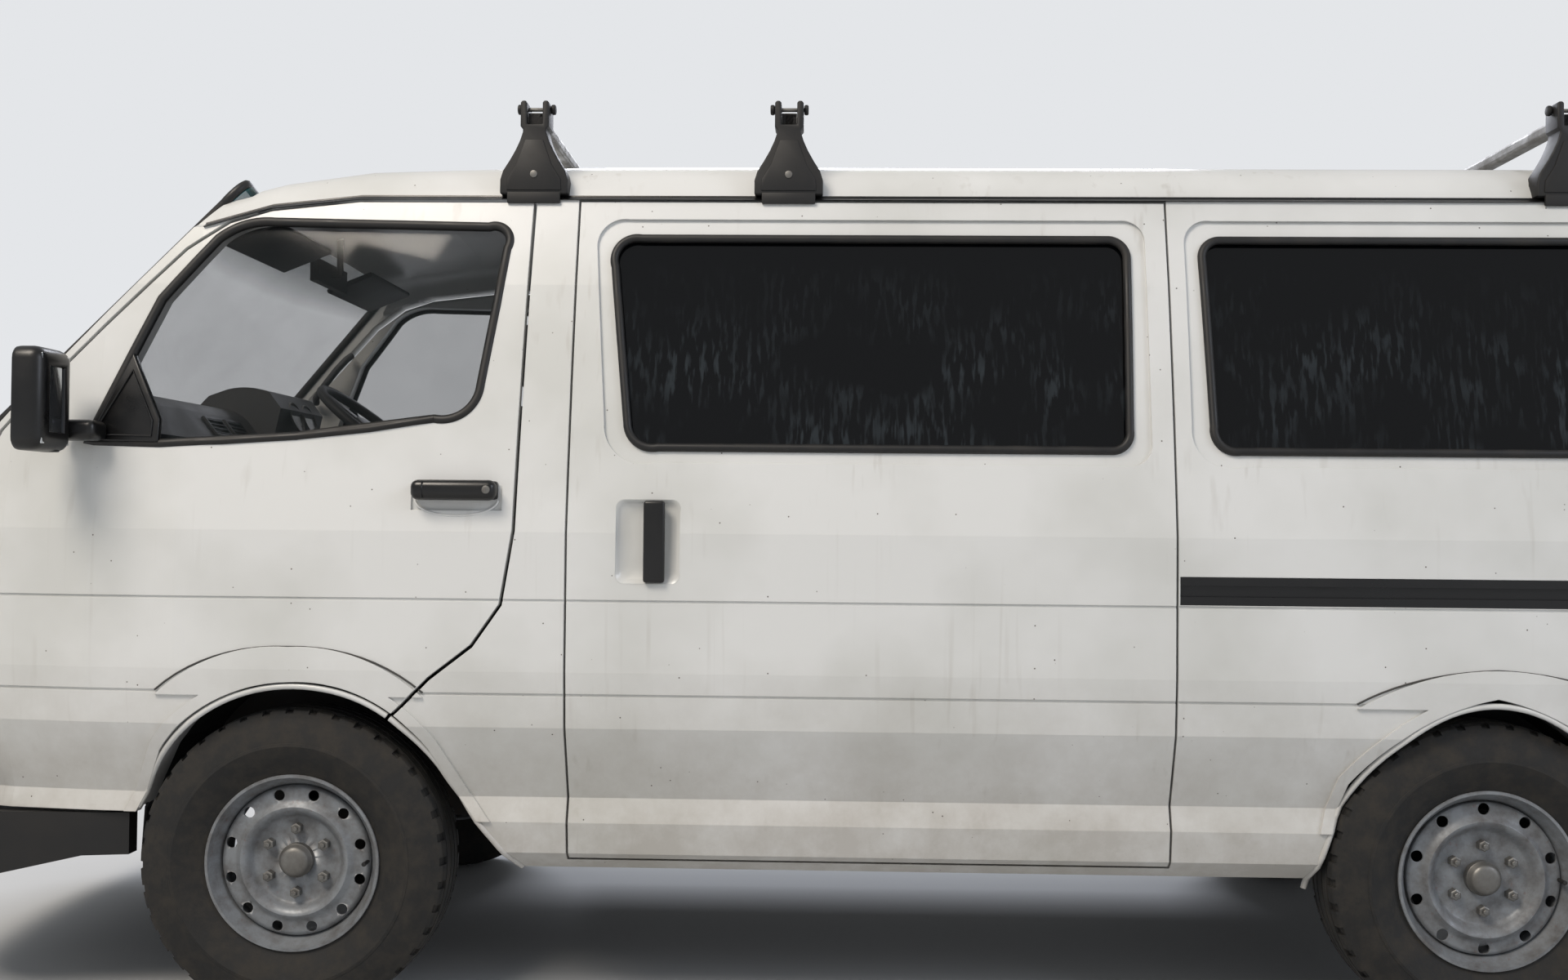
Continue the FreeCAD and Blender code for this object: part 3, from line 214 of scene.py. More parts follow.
def drawLine(points, closed=False):  # one vertex drawn out along the points
    clearSelection()
    bpy.ops.mesh.primitive_plane_add(size=0.01, location=(0, 0, 0))
    piece = bpy.context.object
    editAll(piece)
    bpy.ops.mesh.merge(type="CENTER")
    bpy.ops.transform.translate(value=points[0])
    for here, there in zip(points, points[1:]):
        bpy.ops.mesh.extrude_vertices_move(TRANSFORM_OT_translate={"value": there - here})
    bpy.ops.mesh.select_all(action="SELECT")
    if closed:
        bpy.ops.mesh.edge_face_add()
    bpy.ops.object.mode_set(mode="OBJECT")
    return piece


def plateOf(points, thickness, radius=0.0, steps=2):  # an outline pushed out to a plate
    piece = drawLine(points, closed=True)
    editAll(piece)
    bpy.ops.mesh.extrude_region_move(TRANSFORM_OT_translate={"value": thickness})
    bpy.ops.mesh.select_all(action="SELECT")
    bpy.ops.mesh.normals_make_consistent(inside=False)
    bpy.ops.object.mode_set(mode="OBJECT")
    if radius:
        bevelEdges(piece, radius, steps, 40)
        applyAll(piece)
    smoothBy(piece, 35)
    return piece


def spunPiece(profile, steps=96, closed=False):  # profile in mm: (outwards along -Y, radius)
    points = [Vector((0, -a * mm, r * mm)) for a, r in profile]
    if closed:
        points.append(points[0])
    piece = drawLine(points)
    editAll(piece)
    bpy.ops.mesh.spin(steps=steps, angle=2 * math.pi, center=(0, 0, 0), axis=(0, 1, 0))
    weld(piece, 0.00002)
    smoothBy(piece, 35)
    return piece


def rodBetween(start, end, radius, sides=20, chamfer=0.001):
    clearSelection()
    run = end - start
    turn = run.to_track_quat("Z", "Y").to_euler()
    bpy.ops.mesh.primitive_cylinder_add(vertices=sides, radius=radius, depth=run.length,
                                        location=(start + end) / 2, rotation=turn)
    piece = bpy.context.object
    bevelEdges(piece, chamfer, 2, 50)
    applyAll(piece)
    smoothBy(piece, 40)
    return piece


def blockAt(low, high, radius=0.004, steps=3):  # a rounded block between two corners given as for spot
    return roundBox(spot(*low), spot(*high), radius, steps)


def rodAt(start, end, radius, sides=20, chamfer=0.001):
    return rodBetween(spot(*start), spot(*end), radius, sides, chamfer)


def sheetFrom(points, sweep, thickness):  # a line drawn out sideways to a thin sheet
    piece = drawLine(points)
    editAll(piece)
    bpy.ops.mesh.extrude_region_move(TRANSFORM_OT_translate={"value": sweep})
    bpy.ops.object.mode_set(mode="OBJECT")
    thicken(piece, thickness)
    applyAll(piece)
    smoothBy(piece, 35)
    return piece


def tubeAlong(points, radius, closed=False, steps=3):  # a round bead along a drawn line
    piece = drawLine(points + ([points[0]] if closed else []))
    editAll(piece)
    bpy.ops.mesh.remove_doubles(threshold=0.00002)
    bpy.ops.object.mode_set(mode="OBJECT")
    return beadOn(piece, radius, steps)


def beadOn(piece, radius, steps=3):
    pick(piece)
    bpy.ops.object.convert(target="CURVE")
    bead = bpy.context.object
    bead.data.bevel_depth = radius
    bead.data.bevel_resolution = steps
    bead.data.use_fill_caps = True
    bpy.ops.object.convert(target="MESH")
    bead = bpy.context.object
    weld(bead, 0.00001)
    smoothBy(bead, 50)
    return bead


# The painted side's own shape, for what is placed on it, in mm

sideShape = {"half": 847.5, "belt": 1060.0, "lean": 0.1328, "bow": 0.0000647, "windowTop": 1607.0,
             "windowTopIn": 92.0, "gutterIn": 48.0, "gutterRise": 199.0}
# height, inset
sillLine = [(300, 112), (322, 112), (362, 62), (430, 52), (482, 70), (640, 10), (716, 4), (760, 0)]
planLine = [(-650, 40), (-450, 13), (-250, 0), (3250, 0), (3480, 22), (3700, 70)]  # place, inset


def readTable(rows, value):  # straight-line reading between the rows, held at both ends
    value = min(max(value, rows[0][0]), rows[-1][0])
    for (a0, b0), (a1, b1) in zip(rows, rows[1:]):
        if a0 <= value <= a1:
            return b0 + (b1 - b0) * (value - a0) / (a1 - a0)


def sideSkin(back, height):  # half width of the skin
    shape = sideShape
    rise = max(height - shape["belt"], 0.0)
    lean = shape["lean"] * rise + shape["bow"] * rise * rise
    above = height - shape["windowTop"]
    if above > 0:
        lean = shape["windowTopIn"] + shape["gutterIn"] * above / shape["gutterRise"]
    if height <= sillLine[-1][0]:
        lean = readTable(sillLine, height)
    return shape["half"] - readTable(planLine, back) - lean


# Materials

def hexColour(text):
    values = [int(text[i:i + 2], 16) / 255 for i in (1, 3, 5)]
    return tuple(v / 12.92 if v <= 0.04045 else ((v + 0.055) / 1.055) ** 2.4 for v in values) + (1.0,)


def addNode(tree, kind, settings=None, inputs=None):
    node = tree.nodes.new("ShaderNode" + kind)
    for key, value in (settings or {}).items():
        setattr(node, key, value)
    for key, value in (inputs or {}).items():
        if isinstance(value, bpy.types.NodeSocket):
            tree.links.new(value, node.inputs[key])
        else:
            node.inputs[key].default_value = value
    return node


colourMix = {"data_type": "RGBA"}


def newMaterial(name):
    material = bpy.data.materials.new(name)
    material.use_nodes = True
    tree = material.node_tree
    return material, tree, tree.nodes["Principled BSDF"], addNode(tree, "TexCoord").outputs["Object"]


# baked enamel on pressed steel: a clear sheen over flat white, dulled by road film near the sill
def whiteEnamel():
    look = {"paint": "#D5D6D5", "chalky": "#C6C7C4", "roadFilm": "#857B6D", "speck": "#453B33",
            "filmTop": 0.86, "streakMm": 11.0, "speckMm": 21.0}
    material, tree, shader, place = newMaterial("whiteEnamel")
    height = addNode(tree, "SeparateXYZ", inputs={0: place}).outputs["Z"]
    clouds = addNode(tree, "TexNoise", inputs={"Vector": place, "Scale": 2.4, "Detail": 4.0}).outputs["Fac"]
    clouds = addNode(tree, "MapRange", inputs={"Value": clouds, "From Min": 0.42,
                                               "From Max": 0.68}).outputs[0]
    base = addNode(tree, "Mix", colourMix, {0: clouds, 6: hexColour(look["paint"]),
                                            7: hexColour(look["chalky"])}).outputs[2]
    low = addNode(tree, "MapRange", inputs={"Value": height, "From Min": look["filmTop"],
                                            "From Max": 0.3}).outputs[0]
    grime = addNode(tree, "TexNoise", inputs={"Vector": place, "Scale": 8.0, "Detail": 6.0,
                                             "Roughness": 0.7}).outputs["Fac"]
    film = addNode(tree, "Math", {"operation": "MULTIPLY"}, {0: low, 1: grime}).outputs[0]
    film = addNode(tree, "MapRange", inputs={"Value": film, "From Min": 0.05, "From Max": 0.5,
                                            "To Max": 0.5}).outputs[0]
    base = addNode(tree, "Mix", colourMix, {0: film, 6: base, 7: hexColour(look["roadFilm"])}).outputs[2]
    upright = addNode(tree, "Mapping", inputs={"Vector": place, "Scale": (1.0, 1.0, 0.03)}).outputs[0]
    runs = addNode(tree, "TexNoise", inputs={"Vector": upright, "Scale": 1000.0 / look["streakMm"] / 2,
                                            "Detail": 2.0}).outputs["Fac"]
    runs = addNode(tree, "MapRange", inputs={"Value": runs, "From Min": 0.60, "From Max": 0.74}).outputs[0]
    where = addNode(tree, "TexNoise", inputs={"Vector": place, "Scale": 3.8}).outputs["Fac"]
    where = addNode(tree, "MapRange", inputs={"Value": where, "From Min": 0.46, "From Max": 0.66,
                                             "To Max": 0.22}).outputs[0]
    runs = addNode(tree, "Math", {"operation": "MULTIPLY"}, {0: runs, 1: where}).outputs[0]
    base = addNode(tree, "Mix", colourMix, {0: runs, 6: base, 7: hexColour(look["roadFilm"])}).outputs[2]
    dots = addNode(tree, "TexVoronoi", inputs={"Vector": place, "Scale": 1000.0 / look["speckMm"]})
    near = addNode(tree, "MapRange", inputs={"Value": dots.outputs["Distance"], "From Min": 0.10,
                                             "From Max": 0.05}).outputs[0]
    keep = addNode(tree, "SeparateColor", inputs={0: dots.outputs["Color"]}).outputs[0]
    keep = addNode(tree, "MapRange", inputs={"Value": keep, "From Min": 0.84, "From Max": 0.87}).outputs[0]
    speck = addNode(tree, "Math", {"operation": "MULTIPLY"}, {0: near, 1: keep}).outputs[0]
    base = addNode(tree, "Mix", colourMix, {0: speck, 6: base, 7: hexColour(look["speck"])}).outputs[2]
    dull = addNode(tree, "Math", {"operation": "ADD"}, {0: film, 1: runs}).outputs[0]
    dull = addNode(tree, "MapRange", inputs={"Value": dull, "To Min": 0.30, "To Max": 0.65}).outputs[0]
    peel = addNode(tree, "TexNoise", inputs={"Vector": place, "Scale": 240.0, "Detail": 1.0}).outputs["Fac"]
    edge = addNode(tree, "Bevel", {"samples": 4}, {"Radius": 0.0025})  # folded steel never has a knife edge
    skin = addNode(tree, "Bump", inputs={"Height": peel, "Distance": 0.00006, "Strength": 0.10,
                                        "Normal": edge.outputs[0]})
    tree.links.new(base, shader.inputs["Base Color"])
    tree.links.new(dull, shader.inputs["Roughness"])
    tree.links.new(skin.outputs[0], shader.inputs["Normal"])
    shader.inputs["Coat Weight"].default_value = 0.28
    shader.inputs["Coat Roughness"].default_value = 0.15
    return material


# dust over a clean colour, and how it dulls the finish
def clouded(tree, place, noise, dust, dull, clean, dusty):
    patch = addNode(tree, "TexNoise", inputs={"Vector": place, **noise}).outputs["Fac"]
    share = addNode(tree, "MapRange", inputs={"Value": patch, "From Min": dust[0], "From Max": dust[1],
                                              "To Max": dust[2]}).outputs[0]
    base = addNode(tree, "Mix", colourMix, {0: share, 6: hexColour(clean), 7: hexColour(dusty)}).outputs[2]
    rough = addNode(tree, "MapRange", inputs={"Value": patch, "From Min": 0.3, "From Max": 0.8,
                                              "To Min": dull[0], "To Max": dull[1]}).outputs[0]
    return base, rough


# injection moulded: fine grain, dust in its low places
def mouldedPlastic(name, colour, dusty, roughness, grainMm, dust):
    material, tree, shader, place = newMaterial(name)
    dull = (roughness, min(1.0, roughness + 0.2))
    noise = {"Scale": 8.5, "Detail": 5.0, "Roughness": 0.65}
    base, rough = clouded(tree, place, noise, (0.42, 0.75, dust), dull, colour, dusty)
    grain = addNode(tree, "TexNoise", inputs={"Vector": place, "Scale": 1000.0 / grainMm,
                                              "Detail": 2.0}).outputs["Fac"]
    skin = addNode(tree, "Bump", inputs={"Height": grain, "Distance": 0.00018, "Strength": 0.35})
    tree.links.new(base, shader.inputs["Base Color"])
    tree.links.new(rough, shader.inputs["Roughness"])
    tree.links.new(skin.outputs[0], shader.inputs["Normal"])
    return material


def extrudedRubber():  # EPDM seal: matt black with a soft grey bloom
    look = {"black": "#0F0F10", "bloom": "#38342F", "bloomMm": 60.0}
    material, tree, shader, place = newMaterial("extrudedRubber")
    noise = {"Scale": 1000.0 / look["bloomMm"], "Detail": 5.0}
    base, rough = clouded(tree, place, noise, (0.45, 0.8, 0.4), (0.42, 0.7), look["black"], look["bloom"])
    tree.links.new(base, shader.inputs["Base Color"])
    tree.links.new(rough, shader.inputs["Roughness"])
    return material


def tyreRubber():  # vulcanised rubber: dark, dry, with road dust on the wall and in the tread
    look = {"black": "#141414", "dust": "#3D3831", "dustMm": 45.0, "crazeMm": 3.2}
    material, tree, shader, place = newMaterial("tyreRubber")
    noise = {"Scale": 1000.0 / look["dustMm"], "Detail": 6.0, "Roughness": 0.7}
    base, rough = clouded(tree, place, noise, (0.42, 0.75, 0.65), (0.7, 0.95), look["black"], look["dust"])
    craze = addNode(tree, "TexNoise", inputs={"Vector": place, "Scale": 1000.0 / look["crazeMm"],
                                              "Detail": 3.0}).outputs["Fac"]
    skin = addNode(tree, "Bump", inputs={"Height": craze, "Distance": 0.0004, "Strength": 0.4})
    tree.links.new(base, shader.inputs["Base Color"])
    tree.links.new(rough, shader.inputs["Roughness"])
    tree.links.new(skin.outputs[0], shader.inputs["Normal"])
    return material


# pressed or cast steel under paint, dirt and rust blooms
def sprayedSteel(name, colour, dirt, rust, metallic, dirtShare, rustShare):
    material, tree, shader, place = newMaterial(name)
    noise = {"Scale": 22.0, "Detail": 6.0, "Roughness": 0.65}
    base, rough = clouded(tree, place, noise, (0.38, 0.75, dirtShare), (0.36, 0.75), colour, dirt)
    spots = addNode(tree, "TexNoise", inputs={"Vector": place, "Scale": 95.0, "Detail": 4.0,
                                              "Roughness": 0.6}).outputs["Fac"]
    bloom = addNode(tree, "MapRange", inputs={"Value": spots, "From Min": 0.62, "From Max": 0.75,
                                             "To Max": rustShare}).outputs[0]
    base = addNode(tree, "Mix", colourMix, {0: bloom, 6: base, 7: hexColour(rust)}).outputs[2]
    skin = addNode(tree, "Bump", inputs={"Height": spots, "Distance": 0.0004, "Strength": 0.35})
    tree.links.new(base, shader.inputs["Base Color"])
    tree.links.new(rough, shader.inputs["Roughness"])
    tree.links.new(skin.outputs[0], shader.inputs["Normal"])
    shader.inputs["Metallic"].default_value = metallic
    return material


# body-tinted float glass: nearly black, mirror smooth, misted inside with runs of water
def privacyGlass():
    look = {"tint": "#040507", "mist": "#3A4146", "runMm": 5.5, "mistTop": 1.66}
    material, tree, shader, place = newMaterial("privacyGlass")
    upright = addNode(tree, "Mapping", inputs={"Vector": place, "Scale": (1.0, 1.0, 0.022)}).outputs[0]
    runs = addNode(tree, "TexNoise", inputs={"Vector": upright, "Scale": 1000.0 / look["runMm"] / 2,
                                            "Detail": 2.0}).outputs["Fac"]
    runs = addNode(tree, "MapRange", inputs={"Value": runs, "From Min": 0.50, "From Max": 0.62}).outputs[0]
    height = addNode(tree, "SeparateXYZ", inputs={0: place}).outputs["Z"]
    lower = addNode(tree, "MapRange", inputs={"Value": height, "From Min": look["mistTop"],
                                              "From Max": 1.42}).outputs[0]
    runs = addNode(tree, "Math", {"operation": "MULTIPLY"}, {0: runs, 1: lower}).outputs[0]
    where = addNode(tree, "TexNoise", inputs={"Vector": place, "Scale": 5.2, "Detail": 3.0}).outputs["Fac"]
    where = addNode(tree, "MapRange", inputs={"Value": where, "From Min": 0.42, "From Max": 0.64,
                                              "To Max": 0.45}).outputs[0]
    fog = addNode(tree, "Math", {"operation": "MULTIPLY"}, {0: runs, 1: where}).outputs[0]
    base = addNode(tree, "Mix", colourMix, {0: fog, 6: hexColour(look["tint"]),
                                            7: hexColour(look["mist"])}).outputs[2]
    tree.links.new(base, shader.inputs["Base Color"])
    shader.inputs["Roughness"].default_value = 0.04
    shader.inputs["IOR"].default_value = 1.5
    shader.inputs["Specular IOR Level"].default_value = 0.28
    return material


# laminated or toughened glass, with a dirt haze; a band dyed at the top
def clearGlass(name, colour, alpha, bandColour=None):
    material, tree, shader, place = newMaterial(name)
    haze = addNode(tree, "TexNoise", inputs={"Vector": place, "Scale": 6.0, "Detail": 5.0}).outputs["Fac"]
    see = addNode(tree, "MapRange", inputs={"Value": haze, "From Min": 0.35, "From Max": 0.75,
                                            "To Min": alpha, "To Max": alpha + 0.03}).outputs[0]
    rough = addNode(tree, "MapRange", inputs={"Value": haze, "From Min": 0.3, "From Max": 0.8,
                                              "To Min": 0.02, "To Max": 0.09}).outputs[0]
    shader.inputs["Base Color"].default_value = hexColour(colour)
    if bandColour:
        height = addNode(tree, "SeparateXYZ", inputs={0: place}).outputs["Z"]
        band = addNode(tree, "MapRange", inputs={"Value": height, "From Min": 1.70,
                                                 "From Max": 1.78}).outputs[0]
        base = addNode(tree, "Mix", colourMix, {0: band, 6: hexColour(colour),
                                                7: hexColour(bandColour)}).outputs[2]
        thick = addNode(tree, "Math", {"operation": "MULTIPLY"}, {0: band, 1: 0.4}).outputs[0]
        see = addNode(tree, "Math", {"operation": "ADD"}, {0: see, 1: thick}).outputs[0]
        tree.links.new(base, shader.inputs["Base Color"])
    tree.links.new(see, shader.inputs["Alpha"])
    tree.links.new(rough, shader.inputs["Roughness"])
    shader.inputs["IOR"].default_value = 1.5
    return material


def seatCloth():  # woven polyester over foam: a small two-tone check, matt with a little sheen
    # real threads are 1 mm; drawn coarser to show
    look = {"warp": "#44474C", "weft": "#25272B", "threadMm": 5.0}
    material, tree, shader, place = newMaterial("seatCloth")
    placed = addNode(tree, "Mapping", inputs={"Vector": place, "Rotation": (0.3, 0.2, 0.78)}).outputs[0]
    scale = 314.0 / look["threadMm"] / 2
    waveA = addNode(tree, "TexWave", {"bands_direction": "X"},
                    {"Vector": placed, "Scale": scale}).outputs["Fac"]
    waveB = addNode(tree, "TexWave", {"bands_direction": "Y"},
                    {"Vector": placed, "Scale": scale}).outputs["Fac"]
    weave = addNode(tree, "Math", {"operation": "MULTIPLY"}, {0: waveA, 1: waveB}).outputs[0]
    base = addNode(tree, "Mix", colourMix, {0: weave, 6: hexColour(look["weft"]),
                                            7: hexColour(look["warp"])}).outputs[2]
    skin = addNode(tree, "Bump", inputs={"Height": weave, "Distance": 0.0005, "Strength": 0.5})
    tree.links.new(base, shader.inputs["Base Color"])
    tree.links.new(skin.outputs[0], shader.inputs["Normal"])
    shader.inputs["Roughness"].default_value = 0.9
    shader.inputs["Sheen Weight"].default_value = 0.2
    return material


# moulded acrylic or aluminised reflector with upright flutes
def fluted(name, colour, alpha, pitchMm, metallic=0.0):
    material, tree, shader, place = newMaterial(name)
    flute = addNode(tree, "TexWave", {"bands_direction": "Y"},
                    {"Vector": place, "Scale": 314.0 / pitchMm / 2}).outputs["Fac"]
    haze = addNode(tree, "TexNoise", inputs={"Vector": place, "Scale": 14.0, "Detail": 4.0}).outputs["Fac"]
    rough = addNode(tree, "MapRange", inputs={"Value": haze, "From Min": 0.3, "From Max": 0.8,
                                              "To Min": 0.08, "To Max": 0.22}).outputs[0]
    skin = addNode(tree, "Bump", inputs={"Height": flute, "Distance": 0.0012, "Strength": 0.45})
    shader.inputs["Base Color"].default_value = hexColour(colour)
    shader.inputs["Alpha"].default_value = alpha
    shader.inputs["Metallic"].default_value = metallic
    tree.links.new(rough, shader.inputs["Roughness"])
    tree.links.new(skin.outputs[0], shader.inputs["Normal"])
    return material


def tailLens():  # moulded acrylic in three colours: red below, amber in the middle, clear above
    look = {"red": "#7D0D0F", "amber": "#B85A12", "clear": "#B9BEC2", "redTop": 1.115, "amberTop": 1.25,
            "fluteMm": 11.0}
    material, tree, shader, place = newMaterial("tailLens")
    height = addNode(tree, "SeparateXYZ", inputs={0: place}).outputs["Z"]
    above = addNode(tree, "Math", {"operation": "GREATER_THAN"}, {0: height, 1: look["redTop"]}).outputs[0]
    top = addNode(tree, "Math", {"operation": "GREATER_THAN"}, {0: height, 1: look["amberTop"]}).outputs[0]
    base = addNode(tree, "Mix", colourMix, {0: above, 6: hexColour(look["red"]),
                                            7: hexColour(look["amber"])}).outputs[2]
    base = addNode(tree, "Mix", colourMix, {0: top, 6: base, 7: hexColour(look["clear"])}).outputs[2]
    flute = addNode(tree, "TexWave", {"bands_direction": "Z"},
                    {"Vector": place, "Scale": 314.0 / look["fluteMm"] / 2})
    skin = addNode(tree, "Bump", inputs={"Height": flute.outputs["Fac"], "Distance": 0.001,
                                         "Strength": 0.4})
    tree.links.new(base, shader.inputs["Base Color"])
    tree.links.new(skin.outputs[0], shader.inputs["Normal"])
    shader.inputs["Roughness"].default_value = 0.14
    shader.inputs["Coat Weight"].default_value = 0.5
    return material


enamel = whiteEnamel()
grained = mouldedPlastic("grainedPolypropylene", "#0E0E0F", "#3B3732", 0.52, 1.5, 0.2)
glossy = mouldedPlastic("paintedBlackPlastic", "#080809", "#262421", 0.24, 2.2, 0.12)
vinyl = mouldedPlastic("greyVinyl", "#3B3C3E", "#56534F", 0.6, 1.8, 0.25)
darkVinyl = mouldedPlastic("charcoalVinyl", "#202123", "#3A3835", 0.55, 1.8, 0.2)
# dark grey bead colour: painted shadow of the shallow pressed fold over each arch
paintedFoldShade = mouldedPlastic("paintedFoldShadow", "#3B3B3A", "#5A5650", 0.7, 2.0, 0.3)
sealRubber = extrudedRubber()
tyreBlack = tyreRubber()
wheelPaint = sprayedSteel("silverWheelEnamel", "#7E8286", "#3E352D", "#6A3B22", 0.25, 0.75, 0.4)
underseal = sprayedSteel("bitumenUnderseal", "#1D1C1B", "#3A2E24", "#4A2F20", 0.0, 0.5, 0.3)
castIron = sprayedSteel("castIron", "#393836", "#2C2722", "#553521", 0.5, 0.5, 0.5)
zincSteel = sprayedSteel("zincSteel", "#7C7B78", "#4C4640", "#5E3D28", 0.8, 0.5, 0.35)
darkGlass = privacyGlass()
cabGlass = clearGlass("toughenedGlass", "#0E1516", 0.20)
screenGlass = clearGlass("laminatedGlass", "#121A1A", 0.15, "#14696F")
cloth = seatCloth()
clearLens = fluted("clearAcrylic", "#D8DCDF", 0.16, 14.0)
lampHousing = fluted("lampHousing", "#6C7074", 1.0, 60.0, 0.6)
amberLens = fluted("amberAcrylic", "#C26212", 0.9, 9.0)
silvered = fluted("aluminisedReflector", "#C9CCCE", 1.0, 24.0, 0.9)
rearLens = tailLens()
mirrorSilver = fluted("mirrorSilver", "#B9BEC3", 1.0, 400.0, 1.0)
print("materials ready")


# CAD nodes whose shape is right keep their own mesh and get a better material

keptNodes = {"roof": enamel, "screen_frame": enamel, "nose_panel": enamel, "front_lid": enamel,
        "side_left": enamel, "side_right": enamel, "sliding_doors": enamel, "door_left": enamel,
        "door_right": enamel, "tailgate": enamel, "front_bumper": grained, "rear_bumper": grained,
        "grille": grained, "gutter_mouldings": glossy, "hinges": zincSteel, "slide_fittings": glossy,
        "floor_pan": underseal, "arch_liners": grained, "frame_rails": underseal, "engine_block": castIron,
        "driveline": castIron, "fuel_tank": underseal, "exhaust": zincSteel, "rear_axle": castIron,
        "leaf_springs": castIron, "front_suspension": underseal, "dashboard": vinyl,
        "seat_bases": underseal, "rack_bars": zincSteel, "knuckle_left": castIron,
        "knuckle_right": castIron, "spare_wheel": tyreBlack, "cab_fittings": darkVinyl,
        "tail_lamps": rearLens,}
for node, material in keptNodes.items():
    mesh = nodes[node].data
    mesh.materials.clear()
    mesh.materials.append(material)
print("CAD nodes painted:", len(keptNodes))


# Tyres: 195 mm commercial tyres with four grooves round and slotted shoulders, all cut in one turned wall

tyreLook = {"steps": 120, "radius": 336, "crown": 2.2, "crownHalf": 60.0,
            "grooveDepth": 8.0, "grooveHalf": 4.0, "grooves": (-46.0, -16.0, 16.0, 46.0),
            "slotEvery": 3, "slotDepth": 0.006, "slotOutside": 0.326, "slotAcross": (0.051, 0.075)}
wallLine = [(66, 189), (67.5, 199), (71, 204), (76, 214), (77.5, 216), (86, 234), (92, 247), (95.6, 256),
            (94.6, 262), (93.4, 263), (92, 272), (87, 290), (82, 306), (80.5, 309), (77.5, 318),
            (75.4, 325), (71.5, 331), (67, 333.2)]


def buildTyre():
    tread = []
    for middle in tyreLook["grooves"]:
        half = tyreLook["grooveHalf"]
        radius = tyreLook["radius"] - tyreLook["crown"] * (middle / tyreLook["crownHalf"]) ** 2
        deep = radius - tyreLook["grooveDepth"]
        tread += [(middle - half, radius), (middle - half + 1, deep), (middle + half - 1, deep),
                  (middle + half, radius)]
    left = [(-a, r) for a, r in wallLine]
    profile = left + tread + wallLine[::-1]
    tyre = spunPiece(profile, tyreLook["steps"], closed=True)
    turn = 2 * math.pi / tyreLook["steps"]
    slotIn, slotOut = tyreLook["slotAcross"]

    def shoulder(face):
        along = abs(face.center.y)
        strip = int(math.floor((math.atan2(face.center.z, face.center.x) + math.pi) / turn))
        radius = math.hypot(face.center.x, face.center.z)
        chosen = strip % tyreLook["slotEvery"] == 0
        return chosen and radius > tyreLook["slotOutside"] and slotIn < along < slotOut

    selectFaces(tyre, shoulder)
    bpy.ops.mesh.extrude_region_shrink_fatten(TRANSFORM_OT_shrink_fatten={"value": -tyreLook["slotDepth"]})
    bpy.ops.object.mode_set(mode="OBJECT")
    smoothBy(tyre, 28)
    return tyre


# Wheels: a rolled rim, a pressed disc with round holes, six nuts and a hub cap

# the holes are (count, radius of their circle, radius)
wheelLook = {"steps": 96, "frontHoles": (12, 147.0, 12.0), "rearHoles": (10, 149.0, 12.5),
             "nutCircle": 69.85, "nutAcross": 21.0, "sheet": 0.0045, "valveCircle": 0.1585}
rimLine = [(-72, 185), (-71.6, 191), (-69, 192), (-66.8, 190.5), (-66, 186.6), (-42, 175.5), (-30, 171),
           (30, 171), (42, 175.5), (66, 186.6), (66.8, 190.5), (69, 192), (71.6, 191), (72, 185), (60, 180),
           (42, 170.6), (32, 165.6), (-32, 165.6), (-42, 170.6), (-60, 180)]
frontDisc = [(12, 165), (32, 165), (40, 163), (44, 159), (45.4, 153), (45.4, 135), (48, 128), (53.5, 122.5),
             (56, 118.5), (55, 114), (50, 107.5), (43, 102), (34, 97.5), (30.5, 92), (30, 60), (30, 35)]
rearDisc = [(12, 165), (32, 165), (40, 163), (43, 159.5), (43.8, 155), (43.8, 140), (47, 133), (54, 127.5),
            (57, 123.5), (56, 119.5), (50, 113), (43, 107.5), (34, 102.5), (30.5, 97), (30, 60), (30, 35)]
capLine = [(29, 37.5), (44.5, 37), (46, 35.5), (56, 32), (60, 28.5), (62.6, 22), (63.6, 12), (63.8, 0)]
hubLine = [(4, 100), (16, 96), (22, 88), (24, 60), (24, 30)]


def pressedDisc(profile, holes):
    disc = spunPiece(profile, wheelLook["steps"])
    face = min(disc.data.polygons, key=lambda f: f.center.y)
    if face.normal.y > 0:
        turnInsideOut(disc)
    count, circle, radius = holes
    punches = []
    for k in range(count):
        turn = 2 * math.pi * (k + 0.5) / count
        place = (circle * mm * math.cos(turn), -0.04, circle * mm * math.sin(turn))
        clearSelection()
        bpy.ops.mesh.primitive_cylinder_add(vertices=24, radius=radius * mm, depth=0.08,
                                            rotation=(math.pi / 2, 0, 0), location=place)
        punches.append(bpy.context.object)
    punch = joinAll(punches)
    thicken(disc, wheelLook["sheet"])
    cut = disc.modifiers.new("holes", "BOOLEAN")
    cut.object = punch
    bevelEdges(disc, 0.0009, 2, 60)
    applyAll(disc)
    bpy.data.objects.remove(punch)
    smoothBy(disc, 35)
    return disc


def hexNut(middle):
    clearSelection()
    across = wheelLook["nutAcross"] * mm
    bpy.ops.mesh.primitive_cylinder_add(vertices=6, radius=across / 2 / math.cos(math.pi / 6), depth=0.018,
                                        location=middle, rotation=(math.pi / 2, 0, 0))
    nut = bpy.context.object
    bpy.ops.object.transform_apply(location=True, rotation=True, scale=True)
    selectFaces(nut, lambda face: face.normal.y < -0.9)
    bpy.ops.mesh.inset(thickness=0.0022, depth=0.0016)
    bpy.ops.mesh.inset(thickness=0.0034, depth=0.0)
    bpy.ops.mesh.extrude_region_shrink_fatten(TRANSFORM_OT_shrink_fatten={"value": 0.005})
    bpy.ops.mesh.inset(thickness=0.0012, depth=0.001)
    bpy.ops.object.mode_set(mode="OBJECT")
    smoothBy(nut, 25)
    return nut


